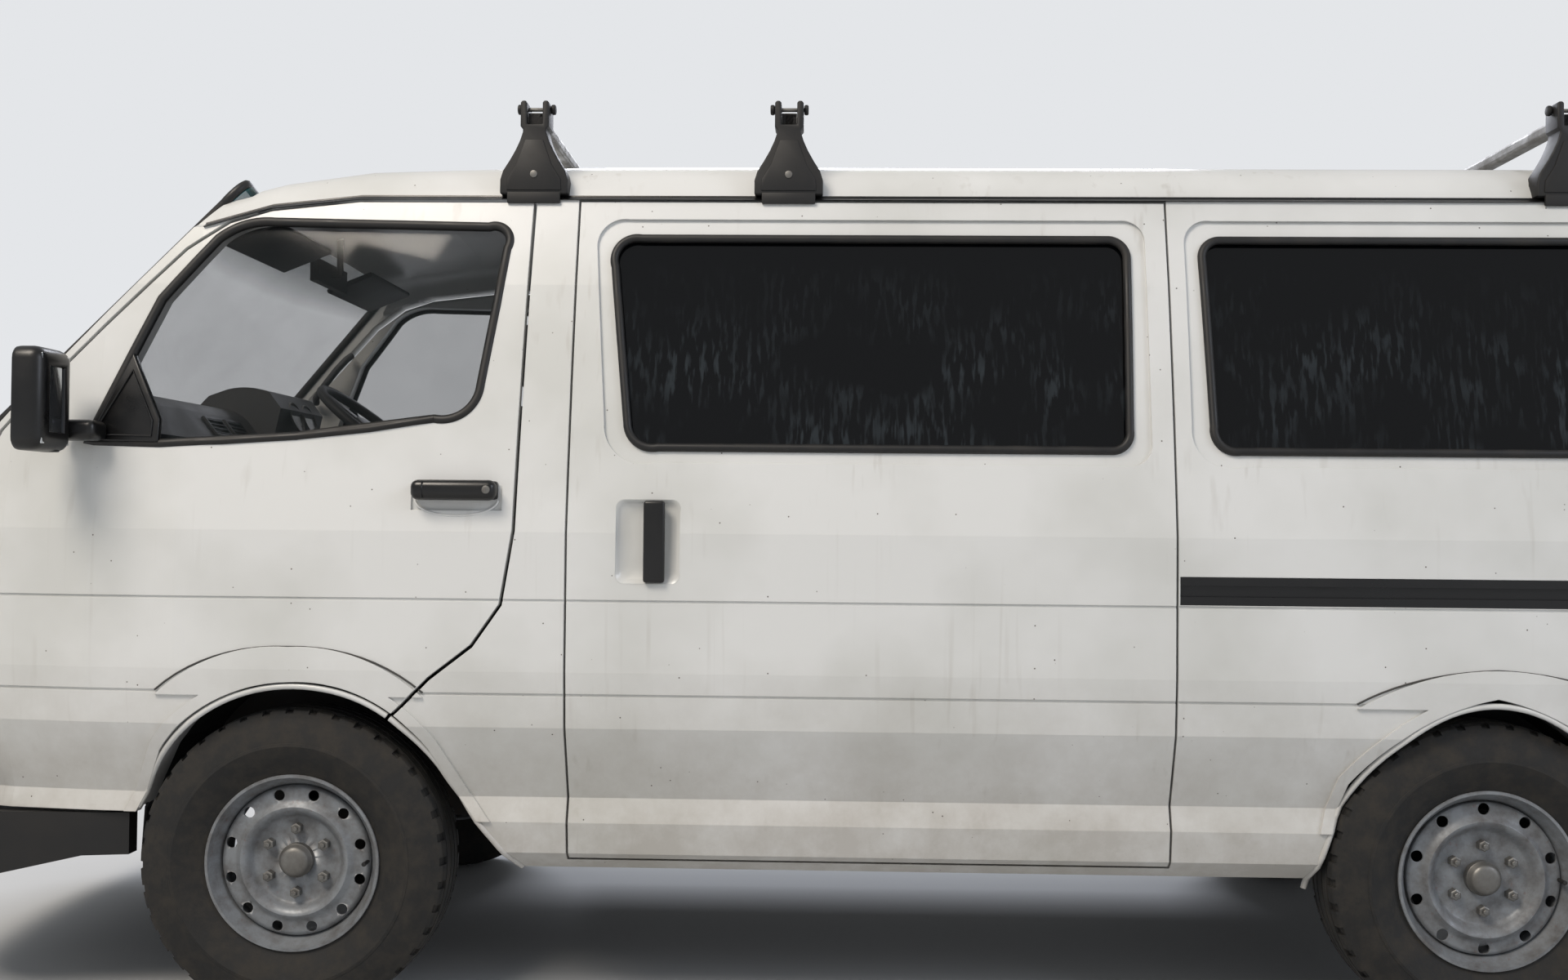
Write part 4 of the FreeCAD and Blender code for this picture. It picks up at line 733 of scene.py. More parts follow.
def buildWheel(front):
    profile, holes = (frontDisc, "frontHoles") if front else (rearDisc, "rearHoles")
    disc = pressedDisc(profile, wheelLook[holes])
    rim = spunPiece(rimLine, wheelLook["steps"], closed=True)
    wheel = joinAll([rim, disc])
    first = hexNut((0, -0.0385, wheelLook["nutCircle"] * mm))
    nuts = [turned(ownCopy(first), 60 * k, "Y") for k in range(1, 6)] + [first]
    cap = spunPiece(capLine, 40)
    hub = spunPiece(hubLine, 48)
    metal = joinAll(nuts + [cap])
    foot, joint, tip = (Vector((wheelLook["valveCircle"], y, 0)) for y in (-0.034, -0.066, -0.073))
    stem = rodBetween(foot, joint, 0.0042, 12)
    stemCap = rodBetween(joint, tip, 0.0050, 12)
    return wheel, metal, hub, joinAll([stem, stemCap])


tyreModel = buildTyre()
axles = (("front", frontAxle, 0.735), ("rear", rearAxle, 0.732))  # name, place, half the track
for axle, axleX, track in axles:
    model = buildWheel(axle == "front")
    for side, sign in (("left", -1), ("right", 1)):
        angle = 0 if sign < 0 else 180
        shift = (axleX, sign * track, wheelHeight)
        wheelBody = "wheel_" + axle + "_" + side
        tag = axle.capitalize() + side.capitalize()
        tyre = turned(ownCopy(tyreModel), angle, "Z", shift)
        dress(tyre, "tyre" + tag, wheelBody, tyreBlack,
              ["tyre_" + axle + "_" + side])
        pieces = [turned(ownCopy(piece), angle, "Z", shift) for piece in model]
        rimNode = "rim_" + axle + "_" + side
        dress(pieces[0], "wheel" + tag, wheelBody, wheelPaint, [rimNode])
        dress(pieces[1], "nuts" + tag, wheelBody, zincSteel)
        dress(pieces[2], "hub" + tag, wheelBody, castIron)
        dress(pieces[3], "valve" + tag, wheelBody, sealRubber)
    for piece in model:
        bpy.data.objects.remove(piece)
bpy.data.objects.remove(tyreModel)
print("tyres and wheels done")


# Glass, and the rubber round it. Each pane is a merged copy of the node's own solid.

glassLook = {"sealRadius": 0.0095, "doorSealRadius": 0.011, "sealOut": 0.009}
leftOut = Vector((0, -1, 0))
rightOut = Vector((0, 1, 0))
screenOut = Vector((-0.72, 0, 0.69))
tailOut = Vector((1, 0, 0.1))


def pane(node, name, where, material, replaces=()):
    glass = nodeCopy(node)
    keepFaces(glass, lambda face: where(face.center))
    smoothBy(glass, 30)
    return dress(glass, name, bodyOf[node], material, replaces)


def sealRound(node, name, where, outward, radius):
    ring = nodeCopy(node)
    keepFaces(ring, lambda face: where(face.center) and face.normal.dot(outward) > 0.7)
    selectFaces(ring, lambda face: True)
    bpy.ops.mesh.region_to_loop()
    bpy.ops.mesh.select_mode(type="EDGE")
    bpy.ops.mesh.select_all(action="INVERT")
    bpy.ops.mesh.delete(type="EDGE")
    bpy.ops.object.mode_set(mode="OBJECT")
    ring = beadOn(ring, radius)
    turned(ring, 0, "Z", outward.normalized() * glassLook["sealOut"])
    return dress(ring, name, bodyOf[node], sealRubber)


aheadX = spot(-100, 0, 0).x  # the windscreen lies ahead of this
betweenX = spot(1900, 0, 0).x  # between the sliding door's pane and the quarter's
pane("body_glass", "windscreenPane", lambda c: c.x < aheadX, screenGlass, ["body_glass"])
pane("body_glass", "sidePanes", lambda c: c.x > aheadX, darkGlass)
pane("door_glass_left", "doorPaneLeft", lambda c: True, cabGlass, ["door_glass_left"])
pane("door_glass_right", "doorPaneRight", lambda c: True, cabGlass, ["door_glass_right"])
pane("tailgate_glass", "tailPane", lambda c: True, darkGlass, ["tailgate_glass"])
sealRound("body_glass", "screenSeal", lambda c: c.x < aheadX, screenOut, glassLook["doorSealRadius"])
for sideName, sign, outward in (("Left", -1, leftOut), ("Right", 1, rightOut)):
    sealRound("body_glass", "slideSeal" + sideName, lambda c, s=sign: aheadX < c.x < betweenX
              and c.y * s > 0, outward, glassLook["sealRadius"])
    sealRound("body_glass", "quarterSeal" + sideName, lambda c, s=sign: c.x > betweenX and c.y * s > 0,
              outward, glassLook["sealRadius"])
    sealRound("door_glass_" + sideName.lower(), "doorSeal" + sideName, lambda c: True,
              outward, glassLook["doorSealRadius"])
sealRound("tailgate_glass", "tailSeal", lambda c: True, tailOut, glassLook["doorSealRadius"])
print("glass and seals done")


# Side fittings: arch lips, dark beads painted along the arches as the shadow of pressed fold lines, mirrors,
# handles, belt seals

doors = ("front_door_left", "front_door_right")
bodyPair = ("body", "body")
sideLook = {"lipRadius": 0.0065, "lipOut": -1.0, "foldRadius": 0.0021, "foldOut": 1.2, "beltRadius": 0.0085,
            "beltOut": -1.0}
frontArch = [(-350, 448), (-290, 580), (-160, 692), (0, 733), (170, 700), (300, 590), (360, 480),
             (491, 323)]
rearArch = [(-371, 300), (-297, 538), (-140, 681), (0, 722), (140, 681), (297, 538), (371, 300)]
foldLook = {"half": 292, "foot": 713, "via": 160, "viaDrop": 22, "frontPeak": 809.0, "rearPeak": 787.0}
doorEdge = ((600, 150), (678, 234), (745, 300))  # height and place of the front door's sloping rear edge
beltLine = [(-302, 1247), (-160, 1253), (0, 1264), (160, 1282), (300, 1305)]


def bend(start, via, end, count=10):  # a smooth run from start to end that passes through via
    points = []
    for k in range(count + 1):
        t = k / count
        row = []
        for a, m, b in zip(start, via, end):
            control = 2 * m - (a + b) / 2
            row.append((1 - t) ** 2 * a + 2 * t * (1 - t) * control + t * t * b)
        points.append(tuple(row))
    return points


def eased(points, rounds=3):  # corners worn to a smooth line
    for count in range(rounds):
        worn = [points[0]]
        for (a0, b0), (a1, b1) in zip(points, points[1:]):
            worn.append((a0 * 0.75 + a1 * 0.25, b0 * 0.75 + b1 * 0.25))
            worn.append((a0 * 0.25 + a1 * 0.75, b0 * 0.25 + b1 * 0.75))
        points = worn + [points[-1]]
    return points


def onSide(points, out, shift=0.0):  # (back, height) pairs laid on the left skin
    return [spot(b + shift, -(sideSkin(b + shift, z) + out), z) for b, z in points]


def behindDoor(point):  # mm behind the door's rear edge, whose two stretches run on past their ends
    back, height = point
    low, knee, top = doorEdge
    (z0, b0), (z1, b1) = (low, knee) if height < knee[0] else (knee, top)
    return back - (b0 + (height - z0) * (b1 - b0) / (z1 - z0))


# the stretch on the front door, and the one on the panel
def cutAtDoor(points, clear=3.0, behind=7.5, fine=60):
    ahead = [p for p in points if behindDoor(p) < -clear]
    here, there = ahead[-1], points[len(ahead)]
    steps = [tuple(h + (t - h) * k / fine for h, t in zip(here, there)) for k in range(1, fine + 1)]
    onDoor = [p for p in steps if behindDoor(p) < -clear]
    onPanel = [p for p in points if behindDoor(p) > behind]
    start = [p for p in steps if behindDoor(p) > behind]
    return ahead + onDoor[-1:], start[:1] + onPanel


def foldOver(peak):  # the pressed line over an arch: two bends that meet at its top
    half, foot = foldLook["half"], foldLook["foot"]
    via, shoulder = foldLook["via"], peak - foldLook["viaDrop"]
    return bend((-half, foot), (-via, shoulder), (0, peak)) + bend((0, peak), (via, shoulder),
                                                                   (half, foot))[1:]


def archTrim(part, bodies, lipLine, foldLine, shift=0.0):
    lip = tubeAlong(onSide(lipLine, sideLook["lipOut"], shift), sideLook["lipRadius"])
    bothSides(lip, "archLip" + part, bodies, enamel)
    # the fold is a thin dark bead on the skin: painted shadow of the pressed groove
    fold = tubeAlong(onSide(foldLine, sideLook["foldOut"], shift), sideLook["foldRadius"], steps=2)
    bothSides(fold, "archFoldShadow" + part, bodies, paintedFoldShade)


lipOnDoor, lipOnPanel = cutAtDoor(eased(frontArch))
foldOnDoor, foldOnPanel = cutAtDoor(foldOver(foldLook["frontPeak"]))
archTrim("Door", doors, lipOnDoor, foldOnDoor)
archTrim("Front", bodyPair, lipOnPanel, foldOnPanel)
archTrim("Rear", bodyPair, eased(rearArch), foldOver(foldLook["rearPeak"]), wheelbase)

bayLook = {"grow": 1.03, "inner": 690.0, "outer": 806.0, "floor": 618.0, "sheet": 0.003}


def buildBaySkirt():  # closes the gap between the rear arch and its wheel bay
    grow = bayLook["grow"]
    hubHeight = wheelHeight / mm
    line = [(b * grow, hubHeight + (z - hubHeight) * grow) for b, z in eased(rearArch)]
    line = [spot(wheelbase + b, -bayLook["inner"], z) for b, z in line if z > bayLook["floor"]]
    return sheetFrom(line, (0, (bayLook["inner"] - bayLook["outer"]) * mm, 0), bayLook["sheet"])


bothSides(buildBaySkirt(), "baySkirt", bodyPair, enamel)
print("arch lips and folds done")

mirrorLook = {"head": ((-548, -1010, 1222), (-466, -868, 1440)), "round": 0.028, "bezel": 0.011,
        "glassIn": 0.006, "taper": (1.0, 0.58, 0.84), "taperAhead": 0.030,
        "pane": ((-474, -996, 1236), (-469.5, -882, 1426)), "arm": ((-522, -884, 1250), (-416, -812, 1294)),
        "hinge": ((-500, -905, 1221.5), (-500, -905, 1232)),
        "sail": [(-464, 1252), (-302, 1249), (-302, 1300), (-376, 1448)], "sailOut": 10.0,
        "sailThick": 0.018, "rib": [(-450, 1266), (-318, 1262), (-318, 1296), (-372, 1408)], "ribOut": 11.0}


def buildMirror():
    head = blockAt(*mirrorLook["head"], mirrorLook["round"], 5)
    middle = sum((spot(*corner) for corner in mirrorLook["head"]), Vector()) / 2
    selectFaces(head, lambda face: face.center.x < middle.x - mirrorLook["taperAhead"])
    bpy.ops.transform.resize(value=mirrorLook["taper"], center_override=middle)
    selectFaces(head, lambda face: face.normal.x > 0.99)
    bpy.ops.mesh.inset(thickness=mirrorLook["bezel"], depth=0.0)
    bpy.ops.mesh.inset(thickness=0.002, depth=-mirrorLook["glassIn"])
    bpy.ops.object.mode_set(mode="OBJECT")
    bevelEdges(head, 0.0015, 2, 60)
    applyAll(head)
    smoothBy(head, 40)
    glass = blockAt(*mirrorLook["pane"], 0.002, 2)
    arm = blockAt(*mirrorLook["arm"], 0.016, 4)
    hinge = rodAt(*mirrorLook["hinge"], 0.020, 28, 0.003)
    sailLine = onSide(mirrorLook["sail"], mirrorLook["sailOut"])
    sail = plateOf(sailLine, Vector((0, mirrorLook["sailThick"], 0)), 0.004, 3)
    rib = tubeAlong(onSide(mirrorLook["rib"], mirrorLook["ribOut"]), 0.0028, closed=True)
    return joinAll([head, arm, hinge, sail, rib]), glass


mirror, mirrorPane = buildMirror()
bothSides(mirror, "mirror", doors, glossy,
          (["door_trim_left"], ["door_trim_right"]))
bothSides(mirrorPane, "mirrorPane", doors, mirrorSilver)

handleLook = {"grip": ((266, -881, 1127), (450, -847, 1171)), "round": 0.0165,
        "base": ((268, -850, 1129), (448, -829, 1169)), "split": ((292, -882.2, 1131), (294.5, -860, 1167)),
        "lockAt": (431, 1150), "lockOuter": -883.5, "lockRadius": 0.0088, "bowlAt": (358, 1128),
        "bowlHalf": 90, "bowlDeep": 34, "bowlOut": -0.6}


def buildHandle():
    grip = blockAt(*handleLook["grip"], handleLook["round"], 5)
    base = blockAt(*handleLook["base"], 0.006, 2)
    split = blockAt(*handleLook["split"], 0.0009, 1)
    back, height = handleLook["lockAt"]
    outer = handleLook["lockOuter"]
    lock = rodAt((back, -872, height), (back, outer, height), handleLook["lockRadius"], 28, 0.0012)
    keyWay = blockAt((back - 1.2, outer - 0.9, height - 5), (back + 1.2, outer + 0.5, height + 5), 0.0005,
                     1)
    back, height = handleLook["bowlAt"]
    turns = [math.pi * k / 24 for k in range(25)]
    ring = [(back + handleLook["bowlHalf"] * math.cos(a), height - handleLook["bowlDeep"] * math.sin(a))
            for a in turns]
    bowl = tubeAlong(onSide(ring, handleLook["bowlOut"]), 0.0026)
    return joinAll([grip, base, split]), joinAll([lock, keyWay]), bowl


grip, lock, bowl = buildHandle()
bothSides(grip, "doorHandle", doors, glossy)
bothSides(lock, "doorLock", doors, zincSteel)
bothSides(bowl, "handleBowl", doors, enamel)
belt = tubeAlong(onSide(beltLine, sideLook["beltOut"]), sideLook["beltRadius"])
bothSides(belt, "beltSeal", doors, sealRubber)

# the pocket is (front, rear, bottom, top), its rings are (inset, depth)
pullLook = {"bar": ((765, -861.5, 954.3), (811, -846, 1129.7)), "round": 0.0065, "rearLip": 0.0045,
            "pocket": (705, 842, 953, 1131), "corner": 20.0,
            "rings": ((-1.5, -0.5), (1.5, 1.5), (5.0, 6.0), (12.0, 12.5), (24.0, 15.5), (40.0, 16.0))}


def buildPull():
    pull = blockAt(*pullLook["bar"], pullLook["round"], 4)
    selectFaces(pull, lambda face: face.normal.x > 0.9 and face.area > 0.0005)
    bpy.ops.transform.translate(value=(pullLook["rearLip"], 0, 0))
    bpy.ops.object.mode_set(mode="OBJECT")
    return pull


def pocketRing(inset, depth):  # a rounded oblong laid under the skin
    front, rear, bottom, top = pullLook["pocket"]
    r = pullLook["corner"]
    b0, b1 = front + inset + r, rear - inset - r
    z0, z1 = bottom + inset + r, top - inset - r
    loop = []
    for cornerBack, cornerHeight, start in ((b1, z1, 0), (b0, z1, 90), (b0, z0, 180), (b1, z0, 270)):
        for k in range(7):
            turn = math.radians(start + 15 * k)
            b, z = cornerBack + r * math.cos(turn), cornerHeight + r * math.sin(turn)
            loop.append(spot(b, -(sideSkin(b, z) - depth), z))
    return drawLine(loop + [loop[0]])


def buildDish():
    dish = joinAll([pocketRing(inset, depth) for inset, depth in pullLook["rings"]])
    editAll(dish)
    bpy.ops.mesh.remove_doubles(threshold=0.00002)
    bpy.ops.mesh.select_mode(type="EDGE")
    bpy.ops.mesh.select_all(action="SELECT")
    bpy.ops.mesh.bridge_edge_loops()
    bpy.ops.mesh.select_mode(type="VERT")
    bpy.ops.mesh.select_all(action="DESELECT")
    bpy.ops.object.mode_set(mode="OBJECT")
    front, rear, bottom, top = pullLook["pocket"]
    innermost = pullLook["rings"][-1][0] - 1.0  # a millimetre outside the last ring
    middle = spot((front + rear) / 2, 0, (bottom + top) / 2)
    halfLong = ((rear - front) / 2 - innermost) * mm
    halfHigh = ((top - bottom) / 2 - innermost) * mm
    for vertex in dish.data.vertices:
        vertex.select = abs(vertex.co.x - middle.x) < halfLong and abs(vertex.co.z - middle.z) < halfHigh
    bpy.ops.object.mode_set(mode="EDIT")
    bpy.ops.mesh.edge_face_add()
    bpy.ops.mesh.select_all(action="SELECT")
    bpy.ops.mesh.normals_make_consistent(inside=False)
    bpy.ops.object.mode_set(mode="OBJECT")
    outer = min(dish.data.polygons, key=lambda f: abs(f.normal.x) + abs(f.normal.z))
    if outer.normal.y > 0:
        turnInsideOut(dish)
    smoothBy(dish, 50)
    return dish


pull = buildPull()
dish = buildDish()
bothSides(pull, "slidePull", bodyPair, glossy)
bothSides(dish, "pullDish", bodyPair, enamel)
print("mirrors and handles done")


# Roof rack: moulded feet with a waisted stem, an open jaw for the bar and a cross bolt with two knobs

rackLook = {"backs": (493.0, 1065.0, 2790.0), "outer": -716.0, "depth": 0.061, "edge": 0.0035,
            "coverOut": 2.5, "boltAcross": -686, "boltHeight": 2015, "screwHeight": 1862}
footLine = [(76.5, 1818), (76.5, 1850), (70, 1871), (56, 1893), (43, 1916), (33, 1938), (26.5, 1958),
            (26.5, 1964), (32, 1971), (32, 2024), (29, 2029), (20, 2029), (17.6, 2024), (17.6, 1975.6)]
coverLine = [(-62, 1826), (62, 1826), (60, 1852), (40, 1884), (20, 1940), (-20, 1940), (-40, 1884),
             (-60, 1852)]


def buildFoot(back):
    outer, across, high = rackLook["outer"], rackLook["boltAcross"], rackLook["boltHeight"]
    line = footLine + [(-b, z) for b, z in reversed(footLine)]
    stem = plateOf([spot(back + b, outer, z) for b, z in line], Vector((0, rackLook["depth"], 0)),
                   rackLook["edge"], 3)
    cover = plateOf([spot(back + b, outer - rackLook["coverOut"], z) for b, z in coverLine],
                    Vector((0, 0.006, 0)), 0.002, 2)
    jaw = blockAt((back - 60, -718, 1797), (back + 60, -710, 1822), 0.0025, 2)
    pad = blockAt((back - 74, -712, 1817), (back + 74, -660, 1823), 0.002, 2)
    bolt = rodAt((back - 41, across, high), (back + 41, across, high), 0.0045, 12)
    knobs = [rodAt((back + s * 33, across, high), (back + s * 43, across, high), 0.0115, 18, 0.003)
             for s in (-1, 1)]
    screwHeight = rackLook["screwHeight"]
    screw = rodAt((back, outer, screwHeight), (back, outer - 4.5, screwHeight), 0.0085, 20, 0.0015)
    return joinAll([stem, cover, jaw, pad] + knobs), joinAll([bolt, screw])


for k, back in enumerate(rackLook["backs"]):
    foot, metal = buildFoot(back)
    swap = (["rack_feet"], []) if k == 0 else ([], [])
    bothSides(foot, "rackFoot" + str(k + 1), bodyPair, grained, swap)
    bothSides(metal, "rackBolt" + str(k + 1), bodyPair, zincSteel)
    caps = blockAt((back - 17, -700, 1976), (back + 17, -697, 2004), 0.001, 1)
    bothSides(caps, "barCap" + str(k + 1), bodyPair, grained)
print("roof rack done")


# Cab: padded seats, steering wheel, dials, vents, visors, grab handles and door cards

seatLook = {"voxel": 0.009, "pressure": 4.0, "cap": 0.024, "frames": 20, "inside": 12.0, "seamDepth": 0.005,
        "seamHalf": 0.011, "seamShares": (-0.27, 0.27), "front": -30, "rear": 420, "low": 902, "high": 1030,
        "crossSeam": 300, "backThick": 0.083, "backTall": 0.335, "backLean": 13.2, "backHeight": 1201,
        "restHalf": (0.030, 0.112, 0.078), "restLean": 6, "restAt": (460, 1473), "stemHalfGap": 55}


def plump(pad, seams):  # foam pressed out by its own pressure, then the sewn channels drawn in
    pick(pad)
    pad.data.remesh_voxel_size = seatLook["voxel"]
    bpy.ops.object.voxel_remesh()
    before = [vertex.co.copy() for vertex in pad.data.vertices]
    swell = pad.modifiers.new("swell", "CLOTH")
    swell.settings.use_pressure = True
    swell.settings.uniform_pressure_force = seatLook["pressure"]
    swell.settings.effector_weights.gravity = 0.0
    swell.collision_settings.use_collision = False
    for number in range(1, seatLook["frames"] + 1):
        bpy.context.scene.frame_set(number)
    pick(pad)
    bpy.ops.object.modifier_apply(modifier=swell.name)
    for vertex, start in zip(pad.data.vertices, before):
        move = vertex.co - start
        if move.length > seatLook["cap"]:
            vertex.co = start + move * (seatLook["cap"] / move.length)
    bpy.context.scene.frame_set(1)
    finer = pad.modifiers.new("finer", "SUBSURF")
    finer.levels = 1
    finer.render_levels = 1
    applyAll(pad)
    pad.data.update()
    for axis, place in seams:
        for vertex in pad.data.vertices:
            away = abs(vertex.co[axis] - place)
            if away < seatLook["seamHalf"]:
                vertex.co -= vertex.normal * seatLook["seamDepth"] * (1 - away / seatLook["seamHalf"])
    smoothBy(pad, 60)
    return pad


def buildSeat(tag, y0, y1, rests, replaced):
    middle = (y0 + y1) / 2
    width = y1 - y0
    inside = seatLook["inside"]
    seams = [(1, (middle + width * s) * mm) for s in seatLook["seamShares"]]
    cushion = blockAt((seatLook["front"] + inside, y0 + inside, seatLook["low"]),
                      (seatLook["rear"] - inside, y1 - inside, seatLook["high"] - inside), 0.035, 4)
    cushion = plump(cushion, seams + [(0, spot(seatLook["crossSeam"], 0, 0).x)])
    dress(cushion, "cushion" + tag, "body", cloth, ["seat_cushions"]
          if replaced else ())
    size = Vector((seatLook["backThick"], (width - 2 * inside - 20) * mm, seatLook["backTall"]))
    back = roundBox(-size / 2, size / 2, 0.030, 4)
    back = plump(back, [(1, width * s * mm) for s in seatLook["seamShares"]])
    turned(back, seatLook["backLean"], "Y", spot(seatLook["rear"], middle, seatLook["backHeight"]))
    dress(back, "backrest" + tag, "body", cloth, ["seat_backs"] if replaced else ())
    half = Vector(seatLook["restHalf"])
    restBack, restHeight = seatLook["restAt"]
    for k, y in enumerate(rests):
        rest = plump(roundBox(-half, half, 0.026, 4), [(1, 0.0)])
        turned(rest, seatLook["restLean"], "Y", spot(restBack, y, restHeight))
        dress(rest, "headRest" + tag + str(k + 1), "body", cloth)
        gap = seatLook["stemHalfGap"]
        stems = [rodAt((450, y + s, 1350), (458, y + s, 1410), 0.0055, 14) for s in (-gap, gap)]
        dress(joinAll(stems), "restStems" + tag + str(k + 1), "body", zincSteel)


buildSeat("Driver", 145.0, 625.0, [385.0], True)
buildSeat("Bench", -625.0, 75.0, [-455.0, -95.0], False)
print("seats done")

wheelHub = {"middle": (-190, 380, 1352), "lean": 38.0, "radius": 0.185, "grip": 0.0142, "column": 0.50,
            "spokesAt": (20, 160, 270)}


def buildSteering():
    clearSelection()
    bpy.ops.mesh.primitive_torus_add(major_radius=wheelHub["radius"], minor_radius=wheelHub["grip"],
                                     major_segments=72, minor_segments=14)
    ring = bpy.context.object
    boss = rodBetween(Vector((0, 0, -0.040)), Vector((0, 0, 0.004)), 0.062, 40, 0.012)
    spokes = []
    for degrees in wheelHub["spokesAt"]:
        spoke = roundBox(Vector((-0.021, 0.03, -0.020)), Vector((0.021, 0.178, -0.004)), 0.006, 3)
        spoke.matrix_world = Matrix.Rotation(-math.radians(degrees), 4, "Z")
        applyAll(spoke)
        spokes.append(spoke)
    column = rodBetween(Vector((0, 0, -wheelHub["column"])), Vector((0, 0, -0.035)), 0.034, 28, 0.003)
    stalks = [rodBetween(Vector((0.0, s * 0.03, -0.075)), Vector((-0.02, s * 0.15, -0.062)), 0.007, 14,
                         0.003) for s in (-1, 1)]
    parts = [ring, boss, column] + spokes + stalks
    return turned(joinAll(parts), wheelHub["lean"], "Y", spot(*wheelHub["middle"]))


dress(buildSteering(), "steeringWheel", "body", darkVinyl, ["steering_wheel"])

dashLook = {"ventsAt": (-640, -90, 45, 690), "ventPlace": (-468, 1324),
        "ventLean": -math.degrees(math.atan2(60, 77)), "dialsAt": (325, 435), "dialPlace": (-404, 1380),
        "dialLean": -20, "dialRadius": 0.046, "dialMarks": 11,
        "panel": ((-474, -70, 1196), (-452, 110, 1250)), "knobsAt": (-52, 92), "keyPitch": 20}


def ventAt(y):
    parts = [roundBox(Vector((-0.004, -0.058, -0.034)), Vector((0.006, 0.058, 0.034)), 0.004, 3)]
    selectFaces(parts[0], lambda face: face.normal.x > 0.99)
    bpy.ops.mesh.inset(thickness=0.005, depth=0.0)
    bpy.ops.mesh.inset(thickness=0.001, depth=-0.006)
    bpy.ops.object.mode_set(mode="OBJECT")
    for k in range(4):
        z = -0.021 + 0.014 * k
        parts.append(roundBox(Vector((0.001, -0.051, z - 0.0012)), Vector((0.006, 0.051, z + 0.0012)),
                              0.0005, 1))
    back, height = dashLook["ventPlace"]
    return turned(joinAll(parts), dashLook["ventLean"], "Y", spot(back, y, height))


def dialAt(y):  # a rim with eleven plain marks
    radius = dashLook["dialRadius"]
    wide = radius * 1000
    parts = [spunPiece([(-2, 0), (-2, wide - 4), (2, wide - 2), (4, wide), (0, wide + 2)], 40)]
    for k in range(dashLook["dialMarks"]):
        angle = math.radians(-135 + 27 * k)
        ray = Vector((math.sin(angle), 0, math.cos(angle)))
        parts.append(rodBetween(ray * radius * 0.72, ray * radius * 0.88, 0.0012, 6, 0.0002))
    dial = turned(joinAll(parts), 90, "Z")
    back, height = dashLook["dialPlace"]
    return turned(dial, dashLook["dialLean"], "Y", spot(back, y, height))


dress(joinAll([ventAt(y) for y in dashLook["ventsAt"]]), "dashVents", "body", darkVinyl)
dress(joinAll([dialAt(y) for y in dashLook["dialsAt"]]), "dials", "body", zincSteel)
panel = blockAt(*dashLook["panel"], 0.004, 3)
knobs = [rodAt((-456, y, 1222), (-438, y, 1226), 0.011, 24, 0.002) for y in dashLook["knobsAt"]]
lefts = [-28 + dashLook["keyPitch"] * k for k in range(5)]
keys = [blockAt((-455, y, 1206), (-449, y + 16, 1216), 0.001, 1) for y in lefts]
dress(joinAll([panel] + knobs + keys), "heaterPanel", "body", darkVinyl)

trimLook = {"visorHalf": (0.070, 0.195, 0.007), "visorLean": -22, "visorAt": (-205, 370, 1756),
            "grabRadius": 0.011, "cardThick": 0.0035}
grabLine = [(-470, 690, 1452), (-462, 664, 1466), (-430, 650, 1505), (-390, 640, 1552), (-362, 646, 1585),
            (-352, 668, 1600)]
cardLine = [(-235, 787.3, 752), (430, 787.3, 752), (445, 787.3, 900), (446, 787.3, 1056), (446, 764, 1222),
            (-235, 764, 1222), (-235, 787.3, 1056)]
for tag, sign in (("Left", -1), ("Right", 1)):
    half = Vector(trimLook["visorHalf"])
    visorBack, visorAcross, visorHeight = trimLook["visorAt"]
    visor = turned(roundBox(-half, half, 0.006, 3), trimLook["visorLean"], "Y",
                   spot(visorBack, sign * visorAcross, visorHeight))
    dress(visor, "sunVisor" + tag, "body", vinyl)
    grab = tubeAlong([spot(b, sign * y, z) for b, y, z in grabLine], trimLook["grabRadius"])
    dress(grab, "grabHandle" + tag, "body", vinyl)
card = plateOf([spot(b, -y, z) for b, y, z in cardLine], Vector((0, trimLook["cardThick"], 0)))
bothSides(card, "doorCard", doors, vinyl)
print("cab done")


# Nose and tail: lamps behind their lenses, wipers, tail handle

# the outward skin of a lamp block, with its side walls
def shellOf(node, name, out, material, replaces=()):
    skin = nodeCopy(node)

    def showing(face):
        sideWall = abs(face.normal.y) > 0.6 and face.normal.y * face.center.y * out.x < 0
        return face.normal.dot(out) > 0.35 or sideWall

    keepFaces(skin, showing)
    thicken(skin, 0.003)
    applyAll(skin)
    smoothBy(skin, 30)
    return dress(skin, name, "body", material, replaces)


shellOf("head_lamps", "headLenses", Vector((-1, 0, 0)), clearLens, ["head_lamps"])
lampLook = {"bowlRadii": (74, 68, 60, 50, 40, 30, 20, 12), "bowlDepth": 34.0,
            "bowlAt": (-929.0, 590.0, 800.0), "turnAt": (-880, 700, 800), "sheet": 0.0015}


def lampPair(profile, steps, place, sheet=0.0):  # a turned piece that faces forwards, on both sides
    back, across, height = place
    pair = []
    for sign in (-1, 1):
        piece = spunPiece(profile, steps)
        if sheet:
            thicken(piece, sheet)
            applyAll(piece)
        pair.append(turned(piece, -90, "Z", spot(back, sign * across, height)))
    return joinAll(pair)


rimRadius = lampLook["bowlRadii"][0]
bowlLine = [(lampLook["bowlDepth"] * ((r / rimRadius) ** 2 - 1), r) for r in lampLook["bowlRadii"]]
bulbLine = [(-34, 7), (-14, 7), (-8, 8.5), (2, 8.5), (8, 6), (10, 0)]
turnLine = [(-6, 0), (-6, 26), (4, 26), (9, 22), (12, 12), (13, 0)]
bowls = lampPair(bowlLine, 48, lampLook["bowlAt"], lampLook["sheet"])
dress(bowls, "lampBowls", "body", silvered)
dress(lampPair(bulbLine, 20, lampLook["bowlAt"]), "lampBulbs", "body", zincSteel)
dress(lampPair(turnLine, 32, lampLook["turnAt"]), "turnLamps", "body", amberLens)
backing = nodeCopy("head_lamps")
keepFaces(backing, lambda face: face.normal.x > 0.35)
smoothBy(backing, 30)
dress(backing, "lampBacking", "body", lampHousing)
print("lamps done")

